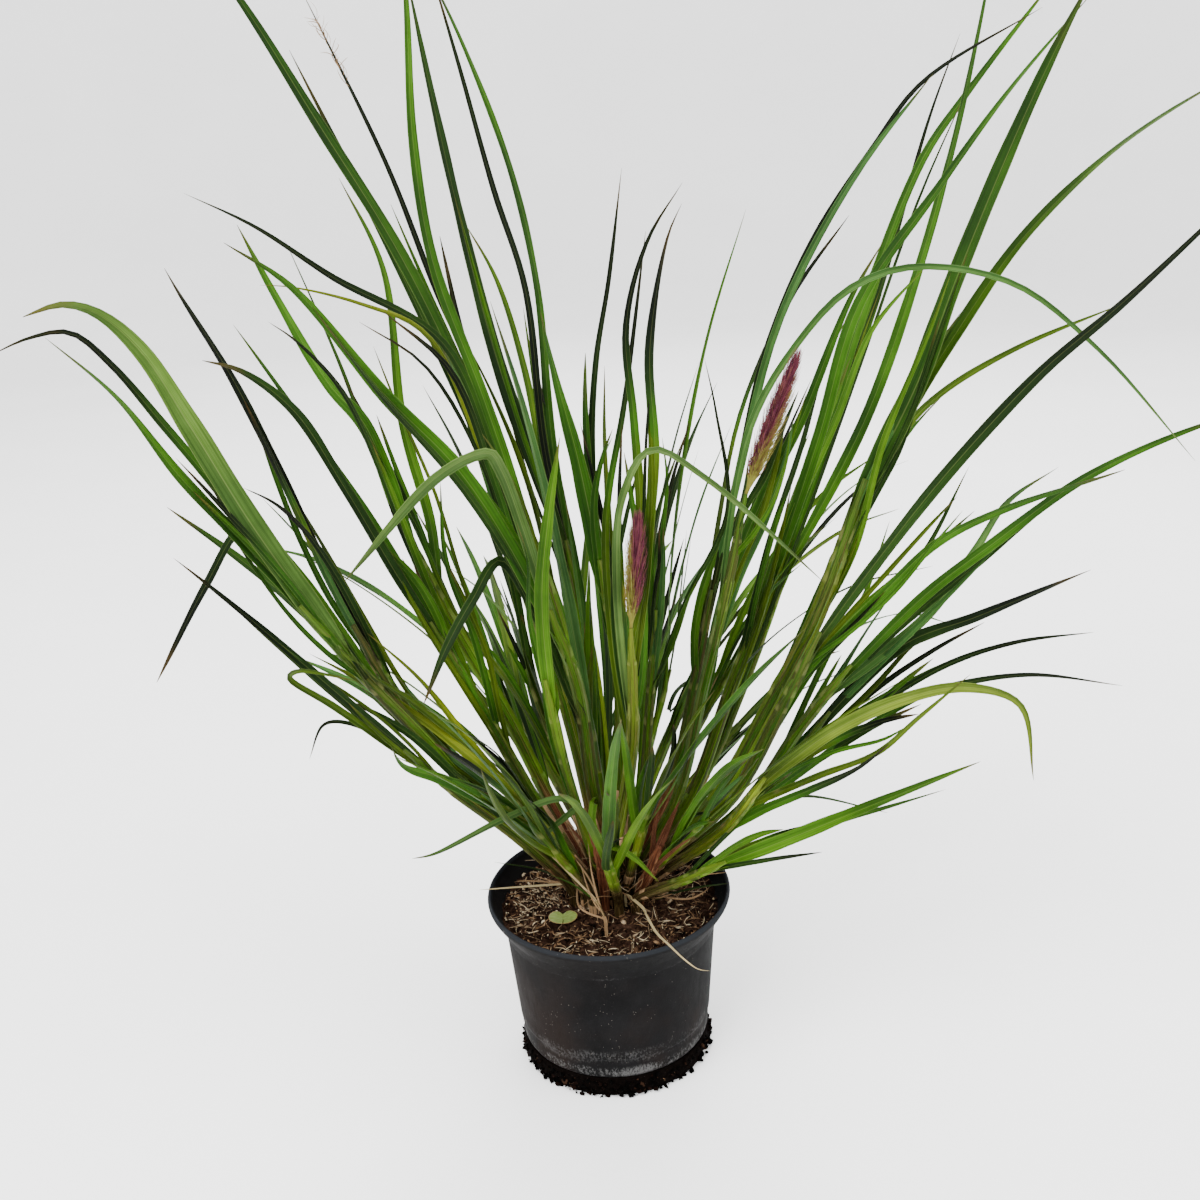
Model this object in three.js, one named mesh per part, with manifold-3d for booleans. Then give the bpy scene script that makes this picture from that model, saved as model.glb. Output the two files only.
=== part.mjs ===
// A redhead fountain grass in its black nursery pot, in millimetres.
// The origin is on the pot's axis at its base, +Z is up and -Y faces the photograph's viewer.
// The pot, its soil, each leafy shoot, each flower head and each dry tuft is a solid of its own.
import * as THREE from "three";
import { mergeVertices } from "three/addons/utils/BufferGeometryUtils.js";
import Module from "manifold-3d";

const wasm = await Module();
wasm.setup();

// The pot
const POT_HEIGHT = 126;
const RIM_RADIUS = 85;
const BODY_TOP_RADIUS = 73.5;
const BODY_FOOT_RADIUS = 66.5;
const FOOT_RADIUS = 64;
const FOOT_HEIGHT = 14;
const BAND_HEIGHT = 30; // a slight step runs round the wall here
const FLARE_START = 100; // height where the wall begins to flare into the rim
const WALL = 1.6;
const POT_SIDES = 28;
const BASE_LIFT = 3; // how far the base is raised between its centre pad and its foot ring
const DRAIN_HOLES = 6;
const DRAIN_RADIUS = 4.5;
const DRAIN_CIRCLE = 35;

// The soil and what stands in it
const SOIL_LEVEL = 112;
const SOIL_GAP = 0.4; // clearance from the pot's wall
const SEAT = 0.3; // how close a piece comes to what carries it
const SOIL_RELIEF = 1.6; // height of the lumps on its surface
const SOIL_RINGS = 4;
const SOIL_SIDES = 20;
const CLING_SIDES = 45;
const CLING_RAG = 4.5; // how far the soil that clings round the foot stands out at most
const CLING_SEED = 11;
const HOLE_DEPTH = 18;
const HOLE_GAP = 0.6;
const STEM_SIDES = 6;
const STEM_DEPTH = 1.9; // half a flattened stem's thickness
const STUB = 5; // a shoot goes straight up for this much above the soil
const FOOT_STEM_RADIUS = 2.9; // a shoot is round where it leaves the soil
const CROWN = new THREE.Vector2(6, 16); // the middle of the clump on the soil
const CROWN_RADIUS = 34;
const GOLDEN_ANGLE = 2.39996;

// Blades
const KEEL = 1.0; // thickness of a blade at its rib
const NARROW_KEEL = 0.8;
const NARROW = 5;
const BLADE_POINTS = 4;
const FOLD = 0.22; // how far a blade's edges stand above its rib, as a share of its half width
const STATION_LENGTH = 150; // about one ring of vertices for this much straight blade
const STATION_BEND = 0.46; // and one more for this much bend, in radians
const MOST_STATIONS = 8;
const SLIVER = 0.01; // triangles thinner than this are merged into their neighbours
const FINE_STEPS = 48;
const SWAY_STEP = 7; // how far a tip moves, along the line of sight, to pass clear of a neighbour
const SWAYS = 12;
const SIDE_SWAY_STEP = 4;
const SIDE_SWAYS = 4;
const CLEARANCE = 0.5;

// Flower heads and the fallen leaf
const SPIKELET_LENGTH = 13;
const SPIKELET_RADIUS = 1.1;
const LEAF_PLACE = new THREE.Vector2(-33, -15);
const LEAF_RADIUS = 10;
const LEAF_THICK = 0.9;
const LEAF_SIDES = 11;

// Where the photograph was taken from: the eye's place, where it looks, and its focal length in pixels.
const EYE = new THREE.Vector3(-16, -847, 658);
const YAW = 1.45;
const PITCH = 20.6;
const ROLL = -3.25;
const FOCAL_PIXELS = 1400;
const FRAME_CENTRE = 600;

// Shoots read from the photograph. Points are its pixels in the 1200 x 1200 frame, from the root
// to the tip. near is how far the end stands towards the viewer from the pot's axis, and width,
// near and thick are in mm. A blade leaves its stem at the share "from" of the stem's length.
const SEEN = [
  {
    name: "shoot_low_left", stem: [[545, 836], [481, 796]], near: 62, thick: 5.5,
    blades: [
      { from: 0.9, path: [[442, 779], [405, 766], [391, 747]], near: 86, width: 8.5 },
      { from: 0.6, path: [[575, 806], [557, 799], [506, 818], [435, 854], [411, 859]], near: 96, width: 4.5 },
      { from: 0.8, path: [[450, 770], [424, 742]], near: 50, width: 5 },
    ],
  },
  {
    name: "shoot_outer_left", stem: [[500, 818], [430, 743], [353, 664], [300, 606]], near: 95, thick: 7,
    blades: [
      { from: 0.88, path: [[242, 542], [179, 476], [115, 397], [43, 336]], near: 120, width: 8.5 },
      {
        from: 0.86, near: 150, width: 15,
        path: [[255, 530], [191, 428], [140, 351], [97, 314], [62, 305], [20, 318]],
      },
      {
        from: 0.82, near: 100, width: 7,
        path: [[217, 489], [163, 425], [110, 364], [70, 333], [30, 338], [-15, 358]],
      },
      { from: 0.8, path: [[272, 545], [244, 528], [206, 585], [156, 684]], near: 45, width: 5 },
    ],
  },
  {
    name: "shoot_folded_left", stem: [[520, 840], [450, 788], [404, 750]], near: 74, thick: 5.5,
    blades: [
      { from: 0.9, path: [[363, 715], [268, 634], [199, 578], [172, 557]], near: 80, width: 6 },
      { from: 0.8, path: [[391, 746], [333, 706], [290, 679], [300, 671], [357, 681]], near: 108, width: 5 },
      { from: 0.85, path: [[358, 726], [325, 724], [309, 760]], near: 64, width: 3.5 },
    ],
  },
  {
    name: "shoot_yellow_left", stem: [[530, 812], [490, 768]], near: 52, thick: 4.5,
    blades: [
      { from: 0.8, path: [[445, 737], [404, 708], [353, 677], [308, 653]], near: 56, width: 7 },
      { from: 0.7, path: [[470, 742], [420, 680], [366, 632]], near: 28, width: 5 },
    ],
  },
  {
    name: "shoot_dark_left", stem: [[500, 806], [450, 762], [404, 710], [353, 625]], near: 34, thick: 8,
    blades: [
      { from: 0.92, path: [[339, 593], [281, 473], [230, 374], [179, 293], [163, 266]], near: 20, width: 6 },
      { from: 0.85, path: [[339, 580], [306, 532], [276, 504], [242, 487]], near: 60, width: 5 },
      { from: 0.9, path: [[330, 572], [284, 520], [262, 498]], near: 0, width: 3.5 },
    ],
  },
  {
    name: "shoot_mid_left", stem: [[535, 800], [490, 722], [430, 622]], near: 6, thick: 7,
    blades: [
      {
        from: 0.92, near: 34, width: 7.5,
        path: [[400, 580], [344, 487], [293, 410], [240, 371], [200, 360]],
      },
      { from: 0.88, path: [[378, 530], [306, 425], [255, 354], [232, 323]], near: -14, width: 6 },
      { from: 0.7, path: [[418, 560], [395, 500], [371, 440]], near: -40, width: 6 },
      { from: 0.6, path: [[475, 640], [446, 560], [440, 480]], near: 30, width: 5 },
    ],
  },
  {
    name: "shoot_broad_left", stem: [[545, 790], [510, 720], [450, 620], [398, 520]], near: -50, thick: 8.5,
    blades: [
      { from: 0.93, path: [[365, 425], [329, 384], [276, 296], [236, 223]], near: -80, width: 10.5 },
      { from: 0.96, path: [[345, 395], [296, 341], [267, 321]], near: -50, width: 4.5 },
      { from: 0.85, path: [[372, 448], [338, 360], [284, 238]], near: -120, width: 3.5 },
      { from: 0.8, path: [[430, 520], [402, 420], [383, 270], [338, 176]], near: -160, width: 7.5 },
    ],
  },
  {
    name: "shoot_arching_left", stem: [[595, 800], [578, 690], [550, 610]], near: 46, thick: 8,
    blades: [
      { from: 0.9, path: [[506, 541], [455, 466], [388, 398], [291, 286], [221, 241]], near: 64, width: 11 },
      {
        from: 0.85, near: 112, width: 7.5,
        path: [[520, 520], [500, 468], [486, 453], [438, 476], [343, 583]],
      },
      { from: 0.7, path: [[500, 560], [472, 600], [446, 648], [423, 706]], near: 96, width: 7.5 },
    ],
  },
  {
    name: "shoot_crossing_left", stem: [[588, 800], [560, 690], [520, 580]], near: 10, thick: 6,
    blades: [
      { from: 0.9, path: [[488, 440], [440, 340], [332, 277], [255, 227], [181, 192]], near: -6, width: 6 },
      { from: 0.8, path: [[482, 450], [425, 333], [362, 304], [291, 287], [257, 285]], near: 30, width: 4.5 },
      { from: 0.7, path: [[502, 520], [470, 500], [458, 462], [438, 470]], near: 4, width: 5 },
    ],
  },
  {
    name: "shoot_tall_left", stem: [[596, 790], [575, 680], [530, 530]], near: -50, thick: 8,
    blades: [
      {
        from: 0.92, near: -120, width: 10.5,
        path: [[471, 400], [400, 255], [316, 120], [240, 0], [176, -84]],
      },
      {
        from: 0.9, near: -160, width: 4.5,
        path: [[480, 385], [440, 300], [388, 168], [325, 38], [296, -20]],
      },
      { from: 0.88, path: [[484, 400], [433, 263], [413, 143], [406, 0], [398, -96]], near: -84, width: 8.5 },
      { from: 0.7, path: [[530, 560], [466, 402], [440, 352]], near: -100, width: 5 },
    ],
  },
  {
    name: "shoot_high_left", stem: [[604, 800], [596, 690], [566, 540]], near: -80, thick: 8,
    blades: [
      { from: 0.92, path: [[500, 370], [466, 245], [433, 102], [404, -36]], near: -140, width: 10.5 },
      { from: 0.9, path: [[545, 450], [525, 288], [494, 191], [459, 66], [420, -66]], near: -190, width: 5 },
      {
        from: 0.85, near: -220, width: 7.5,
        path: [[552, 440], [538, 288], [512, 173], [464, 46], [408, -70]],
      },
      { from: 0.75, path: [[545, 470], [525, 371], [497, 281], [463, 220]], near: -240, width: 6 },
    ],
  },
  {
    name: "shoot_broad_centre", stem: [[622, 770], [620, 670], [600, 560]], near: 20, thick: 8.5,
    blades: [
      { from: 0.92, path: [[579, 463], [558, 384], [540, 310]], near: 24, width: 12 },
      { from: 0.85, path: [[592, 470], [596, 364], [609, 279], [622, 165]], near: 0, width: 5 },
      { from: 0.8, path: [[594, 510], [602, 458], [613, 428]], near: 44, width: 6 },
    ],
  },
  {
    name: "shoot_bright_centre", stem: [[592, 850], [566, 770], [545, 680]], near: 70, thick: 6,
    blades: [
      { from: 0.9, path: [[542, 600], [548, 520], [560, 436]], near: 92, width: 9.5 },
      { from: 0.75, path: [[530, 620], [528, 560], [516, 520]], near: 66, width: 5 },
    ],
  },
  {
    name: "shoot_redhead_centre", stem: [[612, 866], [628, 779], [633, 728], [631, 628]], near: 72, thick: 6,
    head: { tip: [638, 515], near: 70, radius: 3.2, spikelets: 34 },
    blades: [
      { from: 0.95, path: [[640, 600], [649, 560], [650, 530]], near: 60, width: 4 },
      { from: 0.72, path: [[641, 530], [634, 420], [626, 327], [647, 242], [684, 180]], near: 52, width: 6 },
      { from: 0.7, path: [[617, 590], [622, 500], [652, 450], [706, 479], [828, 586]], near: 124, width: 5 },
      { from: 0.8, path: [[646, 568], [655, 453], [650, 350], [668, 237], [683, 201]], near: 86, width: 9.5 },
      { from: 0.6, path: [[612, 640], [606, 520], [625, 400], [646, 228]], near: 34, width: 5 },
    ],
  },
  {
    name: "shoot_fine_centre", stem: [[642, 800], [650, 700], [656, 610]], near: 40, thick: 5,
    blades: [
      { from: 0.9, path: [[663, 530], [667, 480], [662, 436]], near: 30, width: 3.5 },
      { from: 0.8, path: [[648, 560], [663, 494], [684, 437]], near: 60, width: 3.5 },
      { from: 0.7, path: [[684, 606], [727, 512], [716, 412], [704, 356]], near: 10, width: 3.5 },
    ],
  },
  {
    name: "shoot_dark_arch", stem: [[672, 780], [695, 680], [712, 590]], near: -40, thick: 6,
    blades: [
      {
        from: 0.92, near: -120, width: 6,
        path: [[739, 473], [767, 351], [815, 237], [871, 150], [922, 82], [1046, 5]],
      },
      { from: 0.75, path: [[722, 560], [742, 500], [750, 450]], near: -100, width: 5 },
    ],
  },
  {
    name: "shoot_redhead_right", stem: [[676, 800], [706, 676], [727, 590], [746, 494]], near: 34, thick: 6,
    head: { tip: [798, 353], near: 40, radius: 3.8, spikelets: 42 },
    blades: [
      { from: 0.95, path: [[765, 475], [783, 430], [799, 390]], near: 26, width: 5 },
      {
        from: 0.72, near: 84, width: 6,
        path: [[749, 430], [800, 340], [851, 288], [912, 267], [1012, 283], [1098, 349], [1198, 464]],
      },
      { from: 0.8, path: [[771, 480], [801, 420], [850, 300], [884, 240]], near: 10, width: 7 },
    ],
  },
  {
    name: "shoot_upright_right", stem: [[700, 780], [740, 690], [788, 560]], near: -90, thick: 8,
    blades: [
      {
        from: 0.92, near: -150, width: 8.5,
        path: [[864, 422], [912, 288], [953, 143], [976, 41], [1000, -80]],
      },
      {
        from: 0.88, near: -210, width: 8.5,
        path: [[820, 450], [864, 306], [920, 163], [966, 94], [1066, -36]],
      },
      { from: 0.8, path: [[840, 400], [880, 290], [928, 122], [961, 31]], near: -250, width: 4.5 },
    ],
  },
  {
    name: "shoot_split_right", stem: [[694, 790], [730, 690], [772, 580]], near: -30, thick: 7,
    blades: [
      {
        from: 0.92, near: -70, width: 8.5,
        path: [[818, 440], [859, 304], [938, 189], [1010, 90], [1100, -16]],
      },
      { from: 0.8, path: [[800, 500], [836, 420], [872, 330], [930, 262]], near: -110, width: 6 },
      { from: 0.7, path: [[770, 540], [800, 450], [826, 360], [850, 312]], near: -20, width: 5 },
    ],
  },
  {
    name: "shoot_broad_right", stem: [[720, 792], [770, 705], [815, 620], [866, 479]], near: 30, thick: 9.5,
    blades: [
      {
        from: 0.93, near: 60, width: 15,
        path: [[915, 389], [958, 275], [1017, 133], [1055, 51], [1102, -40]],
      },
      {
        from: 0.88, near: 20, width: 8.5,
        path: [[902, 422], [953, 338], [1024, 237], [1111, 153], [1200, 93], [1262, 62]],
      },
      { from: 0.85, path: [[905, 430], [943, 392], [1017, 348], [1127, 302]], near: -40, width: 5 },
      { from: 0.6, path: [[850, 560], [884, 440], [930, 330], [952, 270]], near: 70, width: 5 },
    ],
  },
  {
    name: "shoot_leaning_right", stem: [[730, 800], [780, 712], [820, 632]], near: 66, thick: 7,
    blades: [
      {
        from: 0.92, near: 130, width: 8.5,
        path: [[889, 545], [953, 466], [1042, 371], [1121, 304], [1200, 231], [1262, 172]],
      },
      { from: 0.85, path: [[884, 592], [938, 542], [1004, 509], [1127, 469]], near: 90, width: 6 },
      { from: 0.8, path: [[880, 600], [922, 555], [970, 465]], near: 40, width: 4.5 },
    ],
  },
  {
    name: "shoot_forked_right", stem: [[745, 806], [800, 728], [851, 665]], near: 50, thick: 7,
    blades: [
      {
        from: 0.92, near: 64, width: 7,
        path: [[922, 598], [991, 545], [1088, 476], [1200, 426], [1262, 410]],
      },
      { from: 0.88, path: [[928, 614], [973, 553], [1007, 502], [1060, 466]], near: 4, width: 7.5 },
      { from: 0.6, path: [[830, 650], [862, 600], [890, 520]], near: 30, width: 5 },
    ],
  },
  {
    name: "shoot_flat_right", stem: [[760, 800], [830, 712]], near: 40, thick: 5.5,
    blades: [
      { from: 0.9, path: [[902, 646], [979, 616], [1093, 569]], near: 46, width: 8.5 },
      { from: 0.8, path: [[884, 700], [953, 662], [1017, 642], [1096, 632]], near: 70, width: 4.5 },
    ],
  },
  {
    name: "shoot_yellow_right", stem: [[722, 832], [765, 778]], near: 70, thick: 6,
    blades: [
      {
        from: 0.9, near: 100, width: 8.5,
        path: [[830, 733], [906, 698], [967, 687], [1020, 704], [1034, 782]],
      },
      { from: 0.8, path: [[868, 716], [940, 689], [1027, 675], [1125, 686]], near: 60, width: 5 },
      { from: 0.75, path: [[817, 776], [876, 753], [919, 717], [972, 673]], near: 112, width: 5 },
    ],
  },
  {
    name: "shoot_low_right", stem: [[684, 880], [726, 862]], near: 66, thick: 5.5,
    blades: [
      { from: 0.85, path: [[791, 838], [868, 807], [982, 761]], near: 80, width: 9.5 },
      { from: 0.7, path: [[830, 824], [890, 806], [947, 789]], near: 50, width: 4.5 },
      { from: 0.6, path: [[752, 813], [800, 796], [889, 813]], near: 30, width: 3.5 },
      { from: 0.8, path: [[766, 860], [823, 852]], near: 96, width: 3.5 },
    ],
  },
];

// Shoots that the photograph shows only as a crowd, or hides: azimuth (0 is right, 90 away from the
// viewer) and lean from upright in degrees, how much more its blades bend over, and the stem's
// length in mm.
const CROWD = [
  { name: "shoot_back_1", azimuth: 20, lean: 30, bend: 60, stemLength: 170 },
  { name: "shoot_back_2", azimuth: 48, lean: 40, bend: 60, stemLength: 150 },
  { name: "shoot_back_3", azimuth: 64, lean: 20, bend: 50, stemLength: 180 },
  { name: "shoot_back_4", azimuth: 84, lean: 48, bend: 70, stemLength: 150 },
  { name: "shoot_back_5", azimuth: 100, lean: 30, bend: 60, stemLength: 170 },
  { name: "shoot_back_6", azimuth: 120, lean: 52, bend: 70, stemLength: 140 },
  { name: "shoot_back_7", azimuth: 138, lean: 34, bend: 60, stemLength: 160 },
  { name: "shoot_back_8", azimuth: 160, lean: 46, bend: 50, stemLength: 150 },
  { name: "shoot_back_9", azimuth: 36, lean: 58, bend: 60, stemLength: 130 },
  { name: "shoot_middle_1", azimuth: 0, lean: 12, bend: 30, stemLength: 160 },
  { name: "shoot_middle_2", azimuth: 150, lean: 14, bend: 30, stemLength: 160 },
  { name: "shoot_middle_3", azimuth: 250, lean: 8, bend: 20, stemLength: 140 },
  { name: "shoot_front_1", azimuth: 232, lean: 32, bend: 24, stemLength: 110 },
  { name: "shoot_front_2", azimuth: 262, lean: 38, bend: 20, stemLength: 95 },
  { name: "shoot_front_3", azimuth: 288, lean: 28, bend: 22, stemLength: 110 },
  { name: "shoot_front_4", azimuth: 312, lean: 38, bend: 26, stemLength: 105 },
  { name: "shoot_front_5", azimuth: 205, lean: 30, bend: 30, stemLength: 120 },
];

// Dead straws and sheath stubs. A third number in a point is how near that point stands, and a
// foot is the place of one that stands outside the clump.
const DRY = [
  {
    name: "dry_straw_front", stem: [[640, 905, 26], [646, 912, 40]], near: 40, thick: 3,
    blades: [
      {
        from: 0.9, width: 3,
        path: [[656, 932, 60], [669, 945, 80], [685, 960, 94], [698, 969, 94], [711, 971, 90]],
      },
    ],
  },
  {
    name: "dry_straw_right", stem: [[656, 898, 22], [672, 894, 26]], near: 26, thick: 3,
    blades: [
      { from: 0.9, path: [[700, 887, 28], [731, 883, 24]], width: 3 },
      { from: 0.8, path: [[690, 878, 20], [728, 872, 16]], width: 2.5 },
    ],
  },
  {
    name: "dry_straw_left", foot: [-4, -38], stem: [[597, 903, 34], [584, 887, 30]], near: 30, thick: 3,
    blades: [
      { from: 0.9, path: [[562, 866, 28], [540, 845, 26]], width: 3 },
      { from: 0.8, path: [[572, 884, 34], [548, 874, 38]], width: 2.5 },
      { from: 0.6, path: [[592, 874, 30], [588, 842, 26]], width: 2.5 },
    ],
  },
  {
    name: "dry_straw_rim", stem: [[573, 884, -8], [560, 884, -8]], near: -8, thick: 3,
    blades: [
      { from: 0.9, path: [[520, 887, -4], [478, 890, 4]], width: 3 },
      { from: 0.8, path: [[540, 870, -30], [494, 862, -30]], width: 2.5 },
    ],
  },
  {
    name: "dry_stubs_left", stem: [[602, 864], [596, 842]], near: 6, thick: 8,
    blades: [
      { from: 0.9, path: [[588, 822], [579, 806]], near: 8, width: 6 },
      { from: 0.7, path: [[609, 826], [606, 790]], near: 18, width: 5 },
      { from: 0.6, path: [[586, 846], [566, 822]], near: 24, width: 3 },
    ],
  },
  {
    name: "dry_stubs_right", stem: [[652, 868], [660, 846]], near: 22, thick: 8,
    blades: [
      { from: 0.9, path: [[668, 826], [680, 800]], near: 24, width: 6 },
      { from: 0.7, path: [[655, 826], [662, 796]], near: 10, width: 5 },
      { from: 0.6, path: [[674, 850], [694, 836]], near: 34, width: 3 },
    ],
  },
];
const CROWD_SEED = 20250611;

// Small seeded random numbers, from 0 to 1.
function seeded(seed) {
  let state = seed >>> 0;
  return () => {
    state = (state + 0x6d2b79f5) >>> 0;
    let mixed = Math.imul(state ^ (state >>> 15), state | 1);
    mixed ^= mixed + Math.imul(mixed ^ (mixed >>> 7), mixed | 61);
    return ((mixed ^ (mixed >>> 14)) >>> 0) / 4294967296;
  };
}

const radians = THREE.MathUtils.degToRad;
const lerp = THREE.MathUtils.lerp;

// The eye's axes: forward, then right and up turned by its roll.
const forward = new THREE.Vector3(
  Math.sin(radians(YAW)) * Math.cos(radians(PITCH)),
  Math.cos(radians(YAW)) * Math.cos(radians(PITCH)),
  -Math.sin(radians(PITCH)),
);
const level = new THREE.Vector3(Math.cos(radians(YAW)), -Math.sin(radians(YAW)), 0);
const overhead = new THREE.Vector3().crossVectors(level, forward);
const rightward = level.clone().multiplyScalar(Math.cos(radians(ROLL)))
  .addScaledVector(overhead, Math.sin(radians(ROLL)));
const upward = overhead.clone().multiplyScalar(Math.cos(radians(ROLL)))
  .addScaledVector(level, -Math.sin(radians(ROLL)));

// The point that a pixel shows, on the plane that stands near mm in front of the pot's axis.
function placed([column, row], near) {
  const sight = forward.clone().multiplyScalar(FOCAL_PIXELS)
    .addScaledVector(rightward, column - FRAME_CENTRE)
    .addScaledVector(upward, FRAME_CENTRE - row);
  return EYE.clone().addScaledVector(sight, (-near - EYE.y) / sight.y);
}

// The points of a path of pixels, going evenly from one nearness to another.
function placedPath(pixels, fromNear, toNear) {
  return pixels.map((pixel, i) => {
    const near = pixel[2] ?? lerp(fromNear, toNear, (i + 1) / pixels.length);
    return placed(pixel, near);
  });
}

// The outward leaning path of a crowd shoot or blade: its lean grows by bend over its length.
function leaningPath(start, azimuth, lean, bend, length, pieces) {
  const path = [];
  const at = start.clone();
  for (let i = 0; i < pieces; i++) {
    const tilt = radians(lean + bend * ((i + 0.5) / pieces) ** 1.5);
    const step = length / pieces;
    at.x += Math.sin(tilt) * Math.cos(radians(azimuth)) * step;
    at.y += Math.sin(tilt) * Math.sin(radians(azimuth)) * step;
    at.z += Math.cos(tilt) * step;
    path.push(at.clone());
  }
  return path;
}

function curveThrough(points) {
  return new THREE.CatmullRomCurve3(points, false, "centripetal");
}

// A closed solid from rings of the same number of points: sides, a cap on the first ring, and
// either a cap on the last or one apex. A blade's quads are split alike on its two faces.
function solidFromRings(rings, apex) {
  const count = rings[0].length;
  const points = rings.flat();
  const faces = [];
  for (let i = 0; i + 1 < rings.length; i++) {
    for (let k = 0; k < count; k++) {
      const next = (k + 1) % count;
      const [a, b] = [i * count + k, i * count + next];
      const [c, d] = [a + count, b + count];
      // A blade's points 0 and 2 are its edges, 1 its top rib and 3 its keel below that.
      if (count === BLADE_POINTS && k > 1) faces.push([a, b, c], [b, d, c]);
      else faces.push([a, b, d], [a, d, c]);
    }
  }
  for (let k = 1; k + 1 < count; k++) faces.push([0, k + 1, k]);
  const last = (rings.length - 1) * count;
  if (apex) {
    points.push(apex);
    for (let k = 0; k < count; k++) faces.push([last + k, last + ((k + 1) % count), points.length - 1]);
  } else {
    for (let k = 1; k + 1 < count; k++) faces.push([last, last + k, last + k + 1]);
  }
  const solid = new wasm.Manifold(new wasm.Mesh({
    numProp: 3,
    vertProperties: new Float32Array(points.flatMap((p) => [p.x, p.y, p.z])),
    triVerts: new Uint32Array(faces.flat()),
  }));
  if (solid.volume() < 0) throw new Error("a ring solid is inside out");
  return solid;
}

// The direction across a blade or stem at one place: level across the view, or level across the
// arch's own plane, turned about the path.
function acrossAt(tangent, facing, turn) {
  const across = facing.seen
    ? new THREE.Vector3().crossVectors(facing.seen, tangent)
    : facing.arch.clone().addScaledVector(tangent, -facing.arch.dot(tangent));
  return across.normalize().applyAxisAngle(tangent, turn);
}

function facingOf(shoot, points) {
  if (shoot.azimuth === undefined) {
    const middle = points[Math.floor(points.length / 2)];
    return { seen: EYE.clone().sub(middle).normalize() };
  }
  const a = radians(shoot.azimuth);
  return { arch: new THREE.Vector3(-Math.sin(a), Math.cos(a), 0) };
}

function footRadius(shoot) {
  return Math.min(FOOT_STEM_RADIUS, shoot.thick / 2);
}

// A stem: round in the soil, then flat like a fan of sheaths, and slim where it ends in a blade.
// Its axis comes with it, as the centres of its rings.
function stemSolid(shoot, points, facing) {
  const curve = curveThrough(points);
  const out = (HOLE_DEPTH + STUB) / curve.getLength();
  const axis = [];
  const foot = footRadius(shoot);
  const rings = [0, out, out + 0.1, lerp(out, 1, 0.5), 1].map((share) => {
    const inSoil = share <= out;
    const centre = inSoil ? points[share > 0 ? 1 : 0] : curve.getPointAt(share);
    const tangent = curve.getTangentAt(share);
    const rise = Math.min(1, Math.max(0, (share - out) / 0.35));
    const wide = lerp(foot, shoot.thick / 2, rise);
    const deep = lerp(foot, Math.min(foot, STEM_DEPTH), rise);
    const taper = share > 0.9 ? 0.5 : 1;
    axis.push({ share, centre });
    const across = inSoil ? new THREE.Vector3(1, 0, 0) : acrossAt(tangent, facing, 0);
    const outward = inSoil ? new THREE.Vector3(0, 1, 0) : new THREE.Vector3().crossVectors(tangent, across);
    return Array.from({ length: STEM_SIDES }, (_, k) => {
      const a = (2 * Math.PI * k) / STEM_SIDES;
      return centre.clone()
        .addScaledVector(across, Math.cos(a) * wide * taper)
        .addScaledVector(outward, Math.sin(a) * deep * taper);
    });
  });
  return { stem: solidFromRings(rings), axis };
}

// The point at a share of a stem's length on the straight pieces between its rings.
function onStem(axis, share) {
  const i = axis.findIndex((ring) => ring.share >= share);
  const [a, b] = [axis[i - 1], axis[i]];
  return a.centre.clone().lerp(b.centre, (share - a.share) / (b.share - a.share));
}

// The shares of a curve's length at which a blade has its rings: closer where it bends.
function stationShares(curve) {
  const costs = [0];
  let before = curve.getTangentAt(0);
  for (let i = 1; i <= FINE_STEPS; i++) {
    const tangent = curve.getTangentAt(i / FINE_STEPS);
    const straight = curve.getLength() / FINE_STEPS / STATION_LENGTH;
    costs.push(costs[i - 1] + straight + before.angleTo(tangent) / STATION_BEND);
    before = tangent;
  }
  const count = Math.max(3, Math.min(MOST_STATIONS, Math.round(costs[FINE_STEPS]) + 1));
  return Array.from({ length: count }, (_, k) => {
    const wanted = (costs[FINE_STEPS] * k) / count;
    const i = costs.findIndex((cost) => cost > wanted);
    return (i - 1 + (wanted - costs[i - 1]) / (costs[i] - costs[i - 1])) / FINE_STEPS;
  });
}

// How wide a blade is at a share of its length: a quarter at its root, inside the stem, full by a
// fifth, then a long taper to its point.
function bladeWidth(width, share) {
  return width * Math.min(1, 0.25 + 4 * share) * (1 - share ** 2.2) ** 0.9;
}

// A blade: two raised edges, a rib between them and a keel under the rib.
function bladeSolid(blade, points, facing, extra = 0) {
  const curve = curveThrough(points);
  const keel = (blade.width < NARROW ? NARROW_KEEL : KEEL) + extra;
  const rings = stationShares(curve).map((share) => {
    const centre = curve.getPointAt(share);
    const tangent = curve.getTangentAt(share);
    const turn = radians(lerp(blade.turn[0], blade.turn[1], share));
    const across = acrossAt(tangent, facing, turn);
    const face = new THREE.Vector3().crossVectors(tangent, across);
    const half = (bladeWidth(blade.width, share) + extra) / 2;
    const deep = (keel * (1 - 0.35 * share)) / 2;
    return [
      centre.clone().addScaledVector(across, half).addScaledVector(face, half * FOLD),
      centre.clone().addScaledVector(face, deep),
      centre.clone().addScaledVector(across, -half).addScaledVector(face, half * FOLD),
      centre.clone().addScaledVector(face, -deep),
    ];
  });
  return solidFromRings(rings, curve.getPointAt(1));
}

// A path whose far end moves by a way's two amounts, more towards the tip: along the line of
// sight, where it looks the same from the photograph's viewpoint, and a little aside.
function swayed(points, fixed, [along, aside]) {
  return points.map((point, i) => {
    const share = Math.max(0, (i - fixed + 1) / (points.length - fixed));
    const sight = point.clone().sub(EYE).normalize();
    return point.clone().addScaledVector(sight, along * share).addScaledVector(rightward, aside * share);
  });
}

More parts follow.
